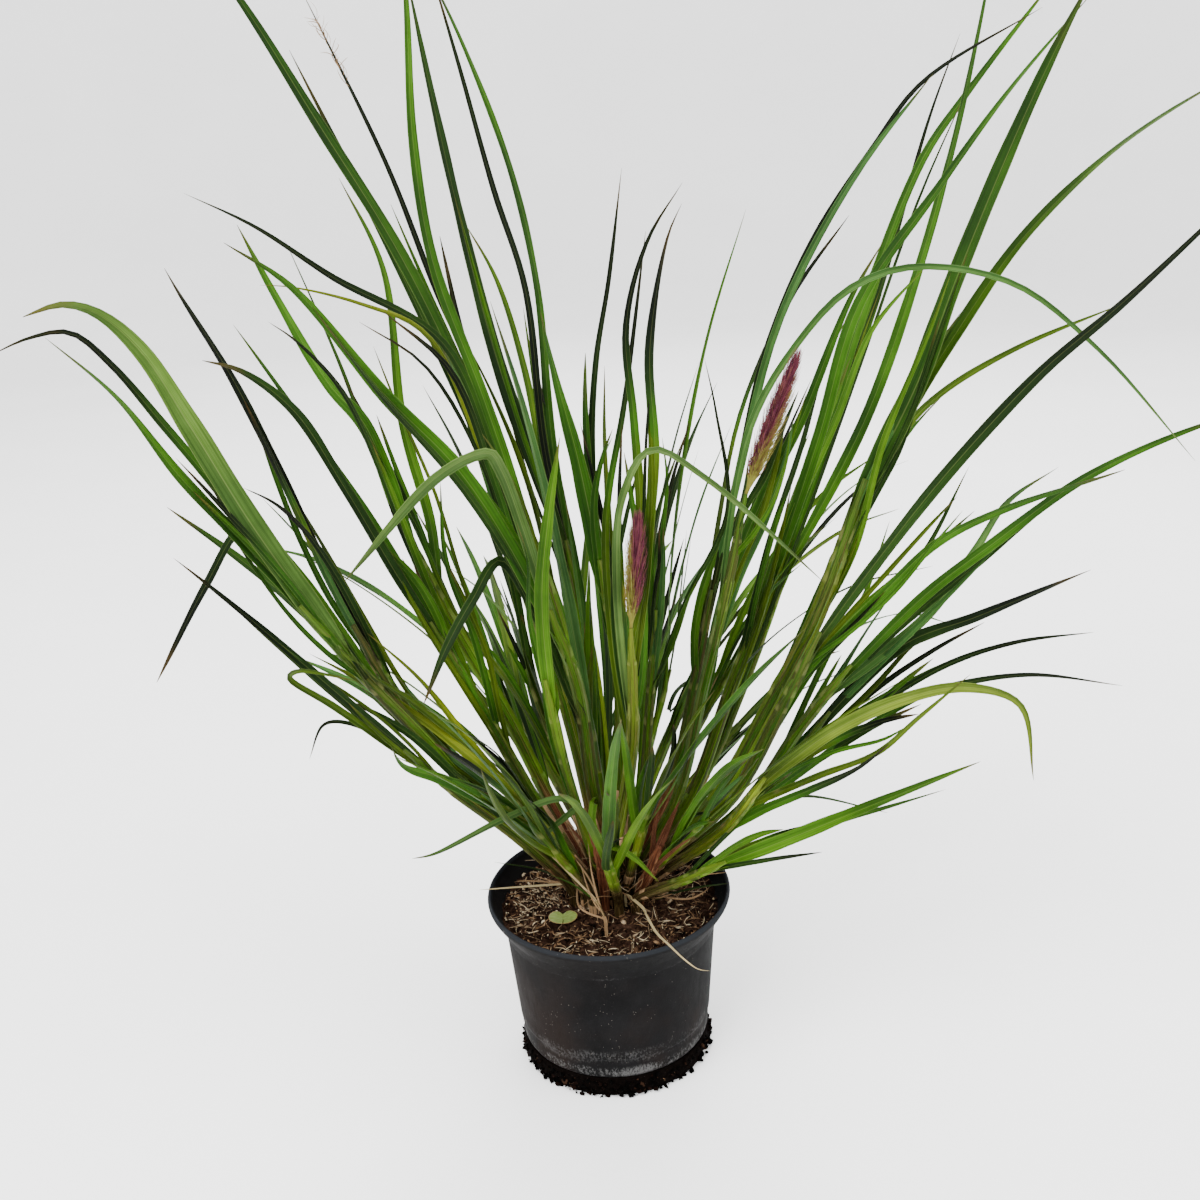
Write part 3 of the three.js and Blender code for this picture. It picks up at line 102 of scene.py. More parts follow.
# What was read from the photograph, by name: the stem's pixels in the 1200 x 1200 frame from root to
# tip, how near its end stands to the viewer, its thickness, and its blades. A blade is the share of
# the stem that it leaves at, how near its end stands, its width and its pixels. A pixel may have its
# own nearness.
SEEN = [
    ("shoot_low_left", [(545, 836), (481, 796)], 62, 5.5, [
        (0.9, 86, 8.5, [(442, 779), (405, 766), (391, 747)]),
        (0.6, 96, 4.5, [(575, 806), (557, 799), (506, 818), (435, 854), (411, 859)]),
        (0.8, 50, 5, [(450, 770), (424, 742)]),
    ]),
    ("shoot_outer_left", [(500, 818), (430, 743), (353, 664), (300, 606)], 95, 7, [
        (0.88, 120, 8.5, [(242, 542), (179, 476), (115, 397), (43, 336)]),
        (0.86, 150, 15, [(255, 530), (191, 428), (140, 351), (97, 314), (62, 305), (20, 318)]),
        (0.82, 100, 7, [(217, 489), (163, 425), (110, 364), (70, 333), (30, 338), (-15, 358)]),
        (0.8, 45, 5, [(272, 545), (244, 528), (206, 585), (156, 684)]),
    ]),
    ("shoot_folded_left", [(520, 840), (450, 788), (404, 750)], 74, 5.5, [
        (0.9, 80, 6, [(363, 715), (268, 634), (199, 578), (172, 557)]),
        (0.8, 108, 5, [(391, 746), (333, 706), (290, 679), (300, 671), (357, 681)]),
        (0.85, 64, 3.5, [(358, 726), (325, 724), (309, 760)]),
    ]),
    ("shoot_yellow_left", [(530, 812), (490, 768)], 52, 4.5, [
        (0.8, 56, 7, [(445, 737), (404, 708), (353, 677), (308, 653)]),
        (0.7, 28, 5, [(470, 742), (420, 680), (366, 632)]),
    ]),
    ("shoot_dark_left", [(500, 806), (450, 762), (404, 710), (353, 625)], 34, 8, [
        (0.92, 20, 6, [(339, 593), (281, 473), (230, 374), (179, 293), (163, 266)]),
        (0.85, 60, 5, [(339, 580), (306, 532), (276, 504), (242, 487)]),
        (0.9, 0, 3.5, [(330, 572), (284, 520), (262, 498)]),
    ]),
    ("shoot_mid_left", [(535, 800), (490, 722), (430, 622)], 6, 7, [
        (0.92, 34, 7.5, [(400, 580), (344, 487), (293, 410), (240, 371), (200, 360)]),
        (0.88, -14, 6, [(378, 530), (306, 425), (255, 354), (232, 323)]),
        (0.7, -40, 6, [(418, 560), (395, 500), (371, 440)]), (0.6, 30, 5, [(475, 640), (446, 560), (440, 480)]),
    ]),
    ("shoot_broad_left", [(545, 790), (510, 720), (450, 620), (398, 520)], -50, 8.5, [
        (0.93, -80, 10.5, [(365, 425), (329, 384), (276, 296), (236, 223)]),
        (0.96, -50, 4.5, [(345, 395), (296, 341), (267, 321)]),
        (0.85, -120, 3.5, [(372, 448), (338, 360), (284, 238)]),
        (0.8, -160, 7.5, [(430, 520), (402, 420), (383, 270), (338, 176)]),
    ]),
    ("shoot_arching_left", [(595, 800), (578, 690), (550, 610)], 46, 8, [
        (0.9, 64, 11, [(506, 541), (455, 466), (388, 398), (291, 286), (221, 241)]),
        (0.85, 112, 7.5, [(520, 520), (500, 468), (486, 453), (438, 476), (343, 583)]),
        (0.7, 96, 7.5, [(500, 560), (472, 600), (446, 648), (423, 706)]),
    ]),
    ("shoot_crossing_left", [(588, 800), (560, 690), (520, 580)], 10, 6, [
        (0.9, -6, 6, [(488, 440), (440, 340), (332, 277), (255, 227), (181, 192)]),
        (0.8, 30, 4.5, [(482, 450), (425, 333), (362, 304), (291, 287), (257, 285)]),
        (0.7, 4, 5, [(502, 520), (470, 500), (458, 462), (438, 470)]),
    ]),
    ("shoot_tall_left", [(596, 790), (575, 680), (530, 530)], -50, 8, [
        (0.92, -120, 10.5, [(471, 400), (400, 255), (316, 120), (240, 0), (176, -84)]),
        (0.9, -160, 4.5, [(480, 385), (440, 300), (388, 168), (325, 38), (296, -20)]),
        (0.88, -84, 8.5, [(484, 400), (433, 263), (413, 143), (406, 0), (398, -96)]),
        (0.7, -100, 5, [(530, 560), (466, 402), (440, 352)]),
    ]),
    ("shoot_high_left", [(604, 800), (596, 690), (566, 540)], -80, 8, [
        (0.92, -140, 10.5, [(500, 370), (466, 245), (433, 102), (404, -36)]),
        (0.9, -190, 5, [(545, 450), (525, 288), (494, 191), (459, 66), (420, -66)]),
        (0.85, -220, 7.5, [(552, 440), (538, 288), (512, 173), (464, 46), (408, -70)]),
        (0.75, -240, 6, [(545, 470), (525, 371), (497, 281), (463, 220)]),
    ]),
    ("shoot_broad_centre", [(622, 770), (620, 670), (600, 560)], 20, 8.5, [
        (0.92, 24, 12, [(579, 463), (558, 384), (540, 310)]),
        (0.85, 0, 5, [(592, 470), (596, 364), (609, 279), (622, 165)]),
        (0.8, 44, 6, [(594, 510), (602, 458), (613, 428)]),
    ]),
    ("shoot_bright_centre", [(592, 850), (566, 770), (545, 680)], 70, 6, [
        (0.9, 92, 9.5, [(542, 600), (548, 520), (560, 436)]),
        (0.75, 66, 5, [(530, 620), (528, 560), (516, 520)]),
    ]),
    ("shoot_redhead_centre", [(612, 866), (628, 779), (633, 728), (631, 628)], 72, 6, [
        (0.95, 60, 4, [(640, 600), (649, 560), (650, 530)]),
        (0.72, 52, 6, [(641, 530), (634, 420), (626, 327), (647, 242), (684, 180)]),
        (0.7, 124, 5, [(617, 590), (622, 500), (652, 450), (706, 479), (828, 586)]),
        (0.8, 86, 9.5, [(646, 568), (655, 453), (650, 350), (668, 237), (683, 201)]),
        (0.6, 34, 5, [(612, 640), (606, 520), (625, 400), (646, 228)]),
    ]),
    ("shoot_fine_centre", [(642, 800), (650, 700), (656, 610)], 40, 5, [
        (0.9, 30, 3.5, [(663, 530), (667, 480), (662, 436)]),
        (0.8, 60, 3.5, [(648, 560), (663, 494), (684, 437)]),
        (0.7, 10, 3.5, [(684, 606), (727, 512), (716, 412), (704, 356)]),
    ]),
    ("shoot_dark_arch", [(672, 780), (695, 680), (712, 590)], -40, 6, [
        (0.92, -120, 6, [(739, 473), (767, 351), (815, 237), (871, 150), (922, 82), (1046, 5)]),
        (0.75, -100, 5, [(722, 560), (742, 500), (750, 450)]),
    ]),
    ("shoot_redhead_right", [(676, 800), (706, 676), (727, 590), (746, 494)], 34, 6, [
        (0.95, 26, 5, [(765, 475), (783, 430), (799, 390)]),
        (0.72, 84, 6, [(749, 430), (800, 340), (851, 288), (912, 267), (1012, 283), (1098, 349), (1198, 464)]),
        (0.8, 10, 7, [(771, 480), (801, 420), (850, 300), (884, 240)]),
    ]),
    ("shoot_upright_right", [(700, 780), (740, 690), (788, 560)], -90, 8, [
        (0.92, -150, 8.5, [(864, 422), (912, 288), (953, 143), (976, 41), (1000, -80)]),
        (0.88, -210, 8.5, [(820, 450), (864, 306), (920, 163), (966, 94), (1066, -36)]),
        (0.8, -250, 4.5, [(840, 400), (880, 290), (928, 122), (961, 31)]),
    ]),
    ("shoot_split_right", [(694, 790), (730, 690), (772, 580)], -30, 7, [
        (0.92, -70, 8.5, [(818, 440), (859, 304), (938, 189), (1010, 90), (1100, -16)]),
        (0.8, -110, 6, [(800, 500), (836, 420), (872, 330), (930, 262)]),
        (0.7, -20, 5, [(770, 540), (800, 450), (826, 360), (850, 312)]),
    ]),
    ("shoot_broad_right", [(720, 792), (770, 705), (815, 620), (866, 479)], 30, 9.5, [
        (0.93, 60, 15, [(915, 389), (958, 275), (1017, 133), (1055, 51), (1102, -40)]),
        (0.88, 20, 8.5, [(902, 422), (953, 338), (1024, 237), (1111, 153), (1200, 93), (1262, 62)]),
        (0.85, -40, 5, [(905, 430), (943, 392), (1017, 348), (1127, 302)]),
        (0.6, 70, 5, [(850, 560), (884, 440), (930, 330), (952, 270)]),
    ]),
    ("shoot_leaning_right", [(730, 800), (780, 712), (820, 632)], 66, 7, [
        (0.92, 130, 8.5, [(889, 545), (953, 466), (1042, 371), (1121, 304), (1200, 231), (1262, 172)]),
        (0.85, 90, 6, [(884, 592), (938, 542), (1004, 509), (1127, 469)]),
        (0.8, 40, 4.5, [(880, 600), (922, 555), (970, 465)]),
    ]),
    ("shoot_forked_right", [(745, 806), (800, 728), (851, 665)], 50, 7, [
        (0.92, 64, 7, [(922, 598), (991, 545), (1088, 476), (1200, 426), (1262, 410)]),
        (0.88, 4, 7.5, [(928, 614), (973, 553), (1007, 502), (1060, 466)]),
        (0.6, 30, 5, [(830, 650), (862, 600), (890, 520)]),
    ]),
    ("shoot_flat_right", [(760, 800), (830, 712)], 40, 5.5, [
        (0.9, 46, 8.5, [(902, 646), (979, 616), (1093, 569)]),
        (0.8, 70, 4.5, [(884, 700), (953, 662), (1017, 642), (1096, 632)]),
    ]),
    ("shoot_yellow_right", [(722, 832), (765, 778)], 70, 6, [
        (0.9, 100, 8.5, [(830, 733), (906, 698), (967, 687), (1020, 704), (1034, 782)]),
        (0.8, 60, 5, [(868, 716), (940, 689), (1027, 675), (1125, 686)]),
        (0.75, 112, 5, [(817, 776), (876, 753), (919, 717), (972, 673)]),
    ]),
    ("shoot_low_right", [(684, 880), (726, 862)], 66, 5.5, [
        (0.85, 80, 9.5, [(791, 838), (868, 807), (982, 761)]),
        (0.7, 50, 4.5, [(830, 824), (890, 806), (947, 789)]),
        (0.6, 30, 3.5, [(752, 813), (800, 796), (889, 813)]), (0.8, 96, 3.5, [(766, 860), (823, 852)]),
    ]),
]
DRY = [
    ("dry_straw_front", [(640, 905, 26), (646, 912, 40)], 40, 3, [
        (0.9, None, 3, [(656, 932, 60), (669, 945, 80), (685, 960, 94), (698, 969, 94), (711, 971, 90)]),
    ]),
    ("dry_straw_right", [(656, 898, 22), (672, 894, 26)], 26, 3, [
        (0.9, None, 3, [(700, 887, 28), (731, 883, 24)]), (0.8, None, 2.5, [(690, 878, 20), (728, 872, 16)]),
    ]),
    ("dry_straw_left", [(597, 903, 34), (584, 887, 30)], 30, 3, [
        (0.9, None, 3, [(562, 866, 28), (540, 845, 26)]), (0.8, None, 2.5, [(572, 884, 34), (548, 874, 38)]),
        (0.6, None, 2.5, [(592, 874, 30), (588, 842, 26)]),
    ]),
    ("dry_straw_rim", [(573, 884, -8), (560, 884, -8)], -8, 3, [
        (0.9, None, 3, [(520, 887, -4), (478, 890, 4)]), (0.8, None, 2.5, [(540, 870, -30), (494, 862, -30)]),
    ]),
    ("dry_stubs_left", [(602, 864), (596, 842)], 6, 8, [
        (0.9, 8, 6, [(588, 822), (579, 806)]), (0.7, 18, 5, [(609, 826), (606, 790)]),
        (0.6, 24, 3, [(586, 846), (566, 822)]),
    ]),
    ("dry_stubs_right", [(652, 868), (660, 846)], 22, 8, [
        (0.9, 24, 6, [(668, 826), (680, 800)]), (0.7, 10, 5, [(655, 826), (662, 796)]),
        (0.6, 34, 3, [(674, 850), (694, 836)]),
    ]),
]
# The flower heads: the tip's pixel, how near it stands, and the radius
HEADS = {
    "shoot_redhead_centre": ((638, 515), 70, 3.2),
    "shoot_redhead_right": ((798, 353), 40, 3.8),
}
# The one foot that is given, of a straw that lies before the crown
PLANTED = {"dry_straw_left": (-4, -38)}
FIELDS = ("name", "stem", "near", "thick", "blades")

# Shoots seen only as a crowd, or hidden: azimuth and lean in degrees, how much more the blades bend
# over, and the stem's length.
CROWD = {
    "shoot_back_1": (20, 30, 60, 170), "shoot_back_2": (48, 40, 60, 150), "shoot_back_3": (64, 20, 50, 180),
    "shoot_back_4": (84, 48, 70, 150), "shoot_back_5": (100, 30, 60, 170), "shoot_back_6": (120, 52, 70, 140),
    "shoot_back_7": (138, 34, 60, 160), "shoot_back_8": (160, 46, 50, 150), "shoot_back_9": (36, 58, 60, 130),
    "shoot_middle_1": (0, 12, 30, 160), "shoot_middle_2": (150, 14, 30, 160),
    "shoot_middle_3": (250, 8, 20, 140), "shoot_front_1": (232, 32, 24, 110),
    "shoot_front_2": (262, 38, 20, 95), "shoot_front_3": (288, 28, 22, 110),
    "shoot_front_4": (312, 38, 26, 105), "shoot_front_5": (205, 30, 30, 120),
}
CROWD_SEED = 20250611


# --- Directions and curves ---------------------------------------------------------------------

FORWARD = np.array([
    math.sin(YAW) * math.cos(PITCH), math.cos(YAW) * math.cos(PITCH), -math.sin(PITCH)])
LEVEL = np.array([math.cos(YAW), -math.sin(YAW), 0.0])
OVERHEAD = np.cross(LEVEL, FORWARD)
RIGHTWARD = LEVEL * math.cos(ROLL) + OVERHEAD * math.sin(ROLL)
UPWARD = OVERHEAD * math.cos(ROLL) - LEVEL * math.sin(ROLL)


def unit(vectors):
    """Each vector divided by its length."""
    return vectors / np.maximum(np.linalg.norm(vectors, axis=-1, keepdims=True), 1e-12)


def blend(a, b, share):
    """The value at a share of the way from a to b."""
    return a + (b - a) * share


def smooth(x):
    """0 below 0 and 1 above 1, with 3x^2 - 2x^3 between."""
    x = np.clip(x, 0, 1)
    return x * x * (3 - 2 * x)


def together(*parts):
    """Arrays spread to one grid, side by side in its last place."""
    return np.stack(np.broadcast_arrays(*parts), axis=-1)


def polar(radius, angle, height):
    """Places round the pot's axis."""
    return together(radius * np.cos(angle), radius * np.sin(angle), height)


def spokes(side, other, angles):
    """Directions round a line, from two at right angles to it: side cos a + other sin a."""
    return side * np.cos(angles)[..., None] + other * np.sin(angles)[..., None]


def apart(places, centre=(0, 0)):
    """How far places are from a centre, seen from above."""
    return np.hypot(places[:, 0] - centre[0], places[:, 1] - centre[1])


def bands(sides, rings):
    """The four-sided faces between rings of corners, as the corners' numbers."""
    k = np.arange(sides) + sides * np.arange(rings - 1)[:, None]
    after = np.roll(k, -1, axis=1)
    return np.stack([k, after, after + sides, k + sides], axis=-1).reshape(-1, 4)


def seeded(seed):
    """Small seeded random numbers from 0 to 1: a counter whose bits are mixed twice."""
    state = seed

    def draw():
        nonlocal state
        state = (state + 0x6D2B79F5) & 0xFFFFFFFF
        mixed = ((state ^ (state >> 15)) * (state | 1)) & 0xFFFFFFFF
        mixed ^= (mixed + (((mixed ^ (mixed >> 7)) * (mixed | 61)) & 0xFFFFFFFF)) & 0xFFFFFFFF
        return (mixed ^ (mixed >> 14)) / 4294967296

    return draw


def placed(pixels, near):
    """The points that pixels show, each on the upright plane that stands near mm before the axis."""
    pixels = np.asarray(pixels, float).reshape(-1, 2)
    sight = (FORWARD * FOCAL_PIXELS + (pixels[:, :1] - FRAME_CENTRE) * RIGHTWARD
             + (FRAME_CENTRE - pixels[:, 1:]) * UPWARD)
    return EYE + sight * ((-np.asarray(near, float) - EYE[1]) / sight[:, 1])[:, None]


def placed_path(pixels, from_near, to_near):
    """A path of pixels that goes evenly from one nearness to another, unless a pixel gives its own."""
    nears = [pixel[2] if len(pixel) > 2 else blend(from_near, to_near, (i + 1) / len(pixels))
             for i, pixel in enumerate(pixels)]
    return placed([pixel[:2] for pixel in pixels], nears)


def leaning_path(start, azimuth, lean, bend, length, pieces):
    """Even steps whose tilt from upright grows from lean by bend, with the share to the power 1.5."""
    tilt = np.radians(lean + bend * ((np.arange(pieces) + 0.5) / pieces) ** 1.5)
    a = math.radians(azimuth)
    steps = np.stack([np.sin(tilt) * math.cos(a), np.sin(tilt) * math.sin(a), np.cos(tilt)], axis=1)
    return start + np.cumsum(steps * length / pieces, axis=0)


class Curve:
    """A smooth curve through points, as cubic pieces whose ends turn by the root of their spacing,
    read by the share of its length."""

    def __init__(self, points):
        self.points = np.asarray(points, float)
        self.steps = np.linspace(0, 1, 201)
        pieces = np.linalg.norm(np.diff(self.raw(self.steps), axis=0), axis=1)
        self.lengths = np.concatenate([[0], np.cumsum(pieces)])
        self.length = self.lengths[-1]

    def raw(self, t):
        p = self.points
        place = (len(p) - 1) * np.atleast_1d(t)
        i = np.clip(np.floor(place).astype(int), 0, len(p) - 2)
        w = (place - i)[:, None]
        before = np.where((i > 0)[:, None], p[np.maximum(i - 1, 0)], 2 * p[0] - p[1])
        after = np.where((i + 2 < len(p))[:, None], p[np.minimum(i + 2, len(p) - 1)], 2 * p[-1] - p[-2])
        a, b = p[i], p[i + 1]
        gaps = [np.sum((v - u) ** 2, axis=1)[:, None] ** 0.25 for u, v in ((before, a), (a, b), (b, after))]
        middle = np.where(gaps[1] < 1e-4, 1, gaps[1])
        first, last = (np.where(gap < 1e-4, middle, gap) for gap in (gaps[0], gaps[2]))
        start = ((a - before) / first - (b - before) / (first + middle) + (b - a) / middle) * middle
        end = ((b - a) / middle - (after - a) / (middle + last) + (after - b) / last) * middle
        return (a + start * w + (3 * (b - a) - 2 * start - end) * w ** 2
                + (2 * (a - b) + start + end) * w ** 3)

    def at(self, share):
        return self.raw(np.interp(np.asarray(share) * self.length, self.lengths, self.steps))

    def tangent(self, share):
        t = np.interp(np.atleast_1d(share) * self.length, self.lengths, self.steps)
        return unit(self.raw(np.minimum(t + 1e-4, 1)) - self.raw(np.maximum(t - 1e-4, 0)))


def across_at(tangent, facing, turn):
    """The direction across a blade: level across the view or across the arch's plane, at right
    angles to the path, turned about it."""
    kind, way = facing
    across = np.cross(way, tangent) if kind == "seen" else way - (tangent @ way)[:, None] * tangent
    across = unit(across)
    turn = np.broadcast_to(turn, len(tangent))[:, None]
    return across * np.cos(turn) + np.cross(tangent, across) * np.sin(turn)


def facing_of(azimuth, points):
    """What a path's blade faces: the eye from its middle, or the plane that it arches in."""
    if azimuth is None:
        return "seen", unit(EYE - points[len(points) // 2])
    a = math.radians(azimuth)
    return "arch", np.array([-math.sin(a), math.cos(a), 0.0])


# --- Where each shoot and blade stands -----------------------------------------------------------

# How a path may have moved to clear its neighbours: steps along the line of sight and aside
SWAY_STEP, SWAYS, SIDE_SWAY_STEP, SIDE_SWAYS = 7, 12, 4, 4
WAYS = sorted(
    ((i * SWAY_STEP, k * SIDE_SWAY_STEP)
     for i in range(-SWAYS, SWAYS + 1) for k in range(-SIDE_SWAYS, SIDE_SWAYS + 1)),
    key=lambda way: abs(way[0]) + 5 * abs(way[1]))


def swayed(points, fixed, way):
    """A path whose far end moves along the line of sight and aside, more towards its tip."""
    share = np.clip((np.arange(len(points)) - fixed + 1) / (len(points) - fixed), 0, None)[:, None]
    return points + (unit(points - EYE) * way[0] + RIGHTWARD * way[1]) * share


def all_shoots():
    """Every shoot with its blades and its foot in the soil. The crowd's blades and every blade's
    turn come from seeded numbers, drawn in one fixed order."""
    shoots = [dict(zip(FIELDS, row)) for row in SEEN]
    draw = seeded(CROWD_SEED)
    for name, (azimuth, lean, bend, length) in CROWD.items():
        shoot = {"name": name, "azimuth": azimuth, "lean": lean, "stem_length": length,
                 "thick": 5 + 3 * draw(), "blades": []}
        for i in range(3 + int(2 * draw())):
            around = azimuth + (draw() - 0.5) * (70 - lean / 2)
            tilt, over = lean - 8 + 16 * draw(), 10 + bend * draw()
            reach = (length * 0.9 + 190 * draw()) * (1 - 0.1 * i)
            shoot["blades"].append((0.92 - 0.16 * i, (around, tilt, over, reach), 4.5 + 5 * draw(), None))
        shoots.append(shoot)
    shoots += [dict(zip(FIELDS, row)) for row in DRY]
    for shoot in shoots:
        shoot["blades"] = [
            {"from": start, "near": near, "width": width, "path": path,
             "turn": ((draw() - 0.5) * 50, (draw() - 0.5) * 130)}
            for start, near, width, path in shoot["blades"]]
    for shoot, foot in zip(shoots, feet_of(shoots)):
        shoot["foot"] = foot
    return shoots


def feet_of(shoots):
    """Feet on an even spiral: the more a shoot leans the further out. Two trade places while that
    brings both nearer to the side that they lean to."""
    leans = []
    for i, shoot in enumerate(shoots):
        if shoot["name"] in PLANTED:
            continue
        if "azimuth" in shoot:
            leans.append((shoot["lean"], i, math.radians(shoot["azimuth"])))
            continue
        end = placed([shoot["stem"][-1][:2]], [shoot["near"]])[0]
        dx, dy = end[0] - CROWN[0], end[1] - CROWN[1]
        tilt = math.degrees(math.atan2(math.hypot(dx, dy), end[2] - SOIL_LEVEL))
        leans.append((tilt, i, math.atan2(dy, dx)))
    leans.sort(key=lambda lean: lean[0])
    count = len(leans)
    reach = CROWN_RADIUS * np.sqrt((np.arange(count) + 0.5) / count)
    angles = np.arange(count) * GOLDEN_ANGLE
    sides = np.array([lean[2] for lean in leans])
    places, wishes = (
        np.stack([CROWN[0] + reach * np.cos(a), CROWN[1] + reach * np.sin(a)], axis=1) for a in (angles, sides))

    def miss(a, b):
        return float(np.sum((places[a] - wishes[b]) ** 2))

    traded = True
    while traded:
        traded = False
        for a in range(count):
            for b in range(a + 1, count):
                if miss(a, b) + miss(b, a) < miss(a, a) + miss(b, b) - 1e-6:
                    places[[a, b]] = places[[b, a]]
                    traded = True
    feet = [PLANTED.get(shoot["name"]) for shoot in shoots]
    for rank, (_, i, _) in enumerate(leans):
        feet[i] = tuple(places[rank])
    return feet


def soil_share(stem):
    """The share of a stem's curve at which it has left the soil."""
    return (HOLE_DEPTH + STUB) / stem.length


def stem_section(shoot, rise):
    """Half a stem's width and depth: round at its foot, where rise is 0, and flat where it is 1."""
    foot = min(FOOT_STEM_RADIUS, shoot["thick"] / 2)
    return blend(foot, shoot["thick"] / 2, rise), blend(foot, min(foot, STEM_DEPTH), rise)


def ovals(centre, tangent, across, angles, wide, deep):
    """Rings round a path: cos a times the width across it and sin a times the depth at right angles."""
    face = np.cross(tangent, across)
    return (centre[:, None] + across[:, None] * (np.cos(angles) * wide[:, None])[..., None]
            + face[:, None] * (np.sin(angles) * deep[:, None])[..., None])


def stem_path(shoot):
    """Straight up out of the soil, then along what is seen or out at its lean."""
    x, y = shoot["foot"]
    rise = np.array([[x, y, SOIL_LEVEL - HOLE_DEPTH], [x, y, SOIL_LEVEL + STUB], [x, y, SOIL_LEVEL + 2 * STUB]])
    if "azimuth" in shoot:
        rest = leaning_path(rise[2], shoot["azimuth"], shoot["lean"], 6, shoot["stem_length"], 3)
    else:
        rest = placed_path(shoot["stem"], -y, shoot["near"])
    return np.concatenate([rise, rest])


def stem_rings(shoot, points):
    """The shares and centres of a stem's five rings, and the six corners of the upper three."""
    curve = Curve(points)
    out = soil_share(curve)
    shares = np.array([0, out, out + 0.1, blend(out, 1, 0.5), 1])
    centres = np.concatenate([points[:2], curve.at(shares[2:])])
    taper = np.where(shares[2:] > 0.9, 0.5, 1)
    wide, deep = stem_section(shoot, np.clip((shares[2:] - out) / FLATTENS, 0, 1))
    tangent = curve.tangent(shares[2:])
    across = across_at(tangent, facing_of(shoot.get("azimuth"), points), 0)
    rings = ovals(centres[2:], tangent, across, np.arange(6) * math.pi / 3, wide * taper, deep * taper)
    return shares, centres, rings.reshape(-1, 3)


def corners_of(node):
    """The corners of a solid, in millimetres."""
    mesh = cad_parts[node].data
    corners = np.empty(len(mesh.vertices) * 3, np.float32)
    mesh.vertices.foreach_get("co", corners)
    return np.unique(np.round(corners.reshape(-1, 3) * 1000, 3), axis=0)


def found_among(points, corners):
    """For each point, whether a corner lies within a tenth of a millimetre."""
    gaps = np.linalg.norm(points[:, None] - corners[None], axis=2)
    return gaps.min(axis=1) < 0.1


def fitted(shoot):
    """The shoot's stem and blade paths with the sways that its solid has: the first way that brings
    the path's end onto corners of the solid. A blade that the solid lacks is left out."""
    corners = corners_of(shoot["name"])
    plain = stem_path(shoot)
    for way in WAYS:
        points = swayed(plain, 3, way)
        shares, centres, rings = stem_rings(shoot, points)
        if found_among(rings, corners).sum() >= 6:
            break
    else:
        raise ValueError(shoot["name"] + ": no way of the stem meets its solid")
    blades = []
    for rank, blade in enumerate(shoot["blades"]):
        start = np.stack([
            np.interp([blade["from"] - ROOTED, blade["from"]], shares, centres[:, k]) for k in range(3)], axis=1)
        if blade["path"]:
            rest = placed_path(blade["path"], -start[1][1], blade["near"] or 0)
            azimuth = None
        else:
            azimuth, lean, bend, length = blade["near"]
            rest = leaning_path(start[1], azimuth, lean, bend, length, 4)
        path = np.concatenate([start, rest])
        tips = path[-1] + np.array([unit(path[-1] - EYE) * along + RIGHTWARD * aside for along, aside in WAYS])
        hits = np.flatnonzero(found_among(tips, corners))
        if len(hits):
            blades.append({
                **blade, "points": swayed(path, 2, WAYS[hits[0]]), "facing": facing_of(azimuth, path), "rank": rank})
    return {**shoot, "points": points, "blades": blades, "facing": facing_of(shoot.get("azimuth"), points)}


# --- Surfaces ------------------------------------------------------------------------------------

def shown(name, data):
    """A new object in the scene."""
    item = bpy.data.objects.new(name, data)
    bpy.context.scene.collection.objects.link(item)
    return item


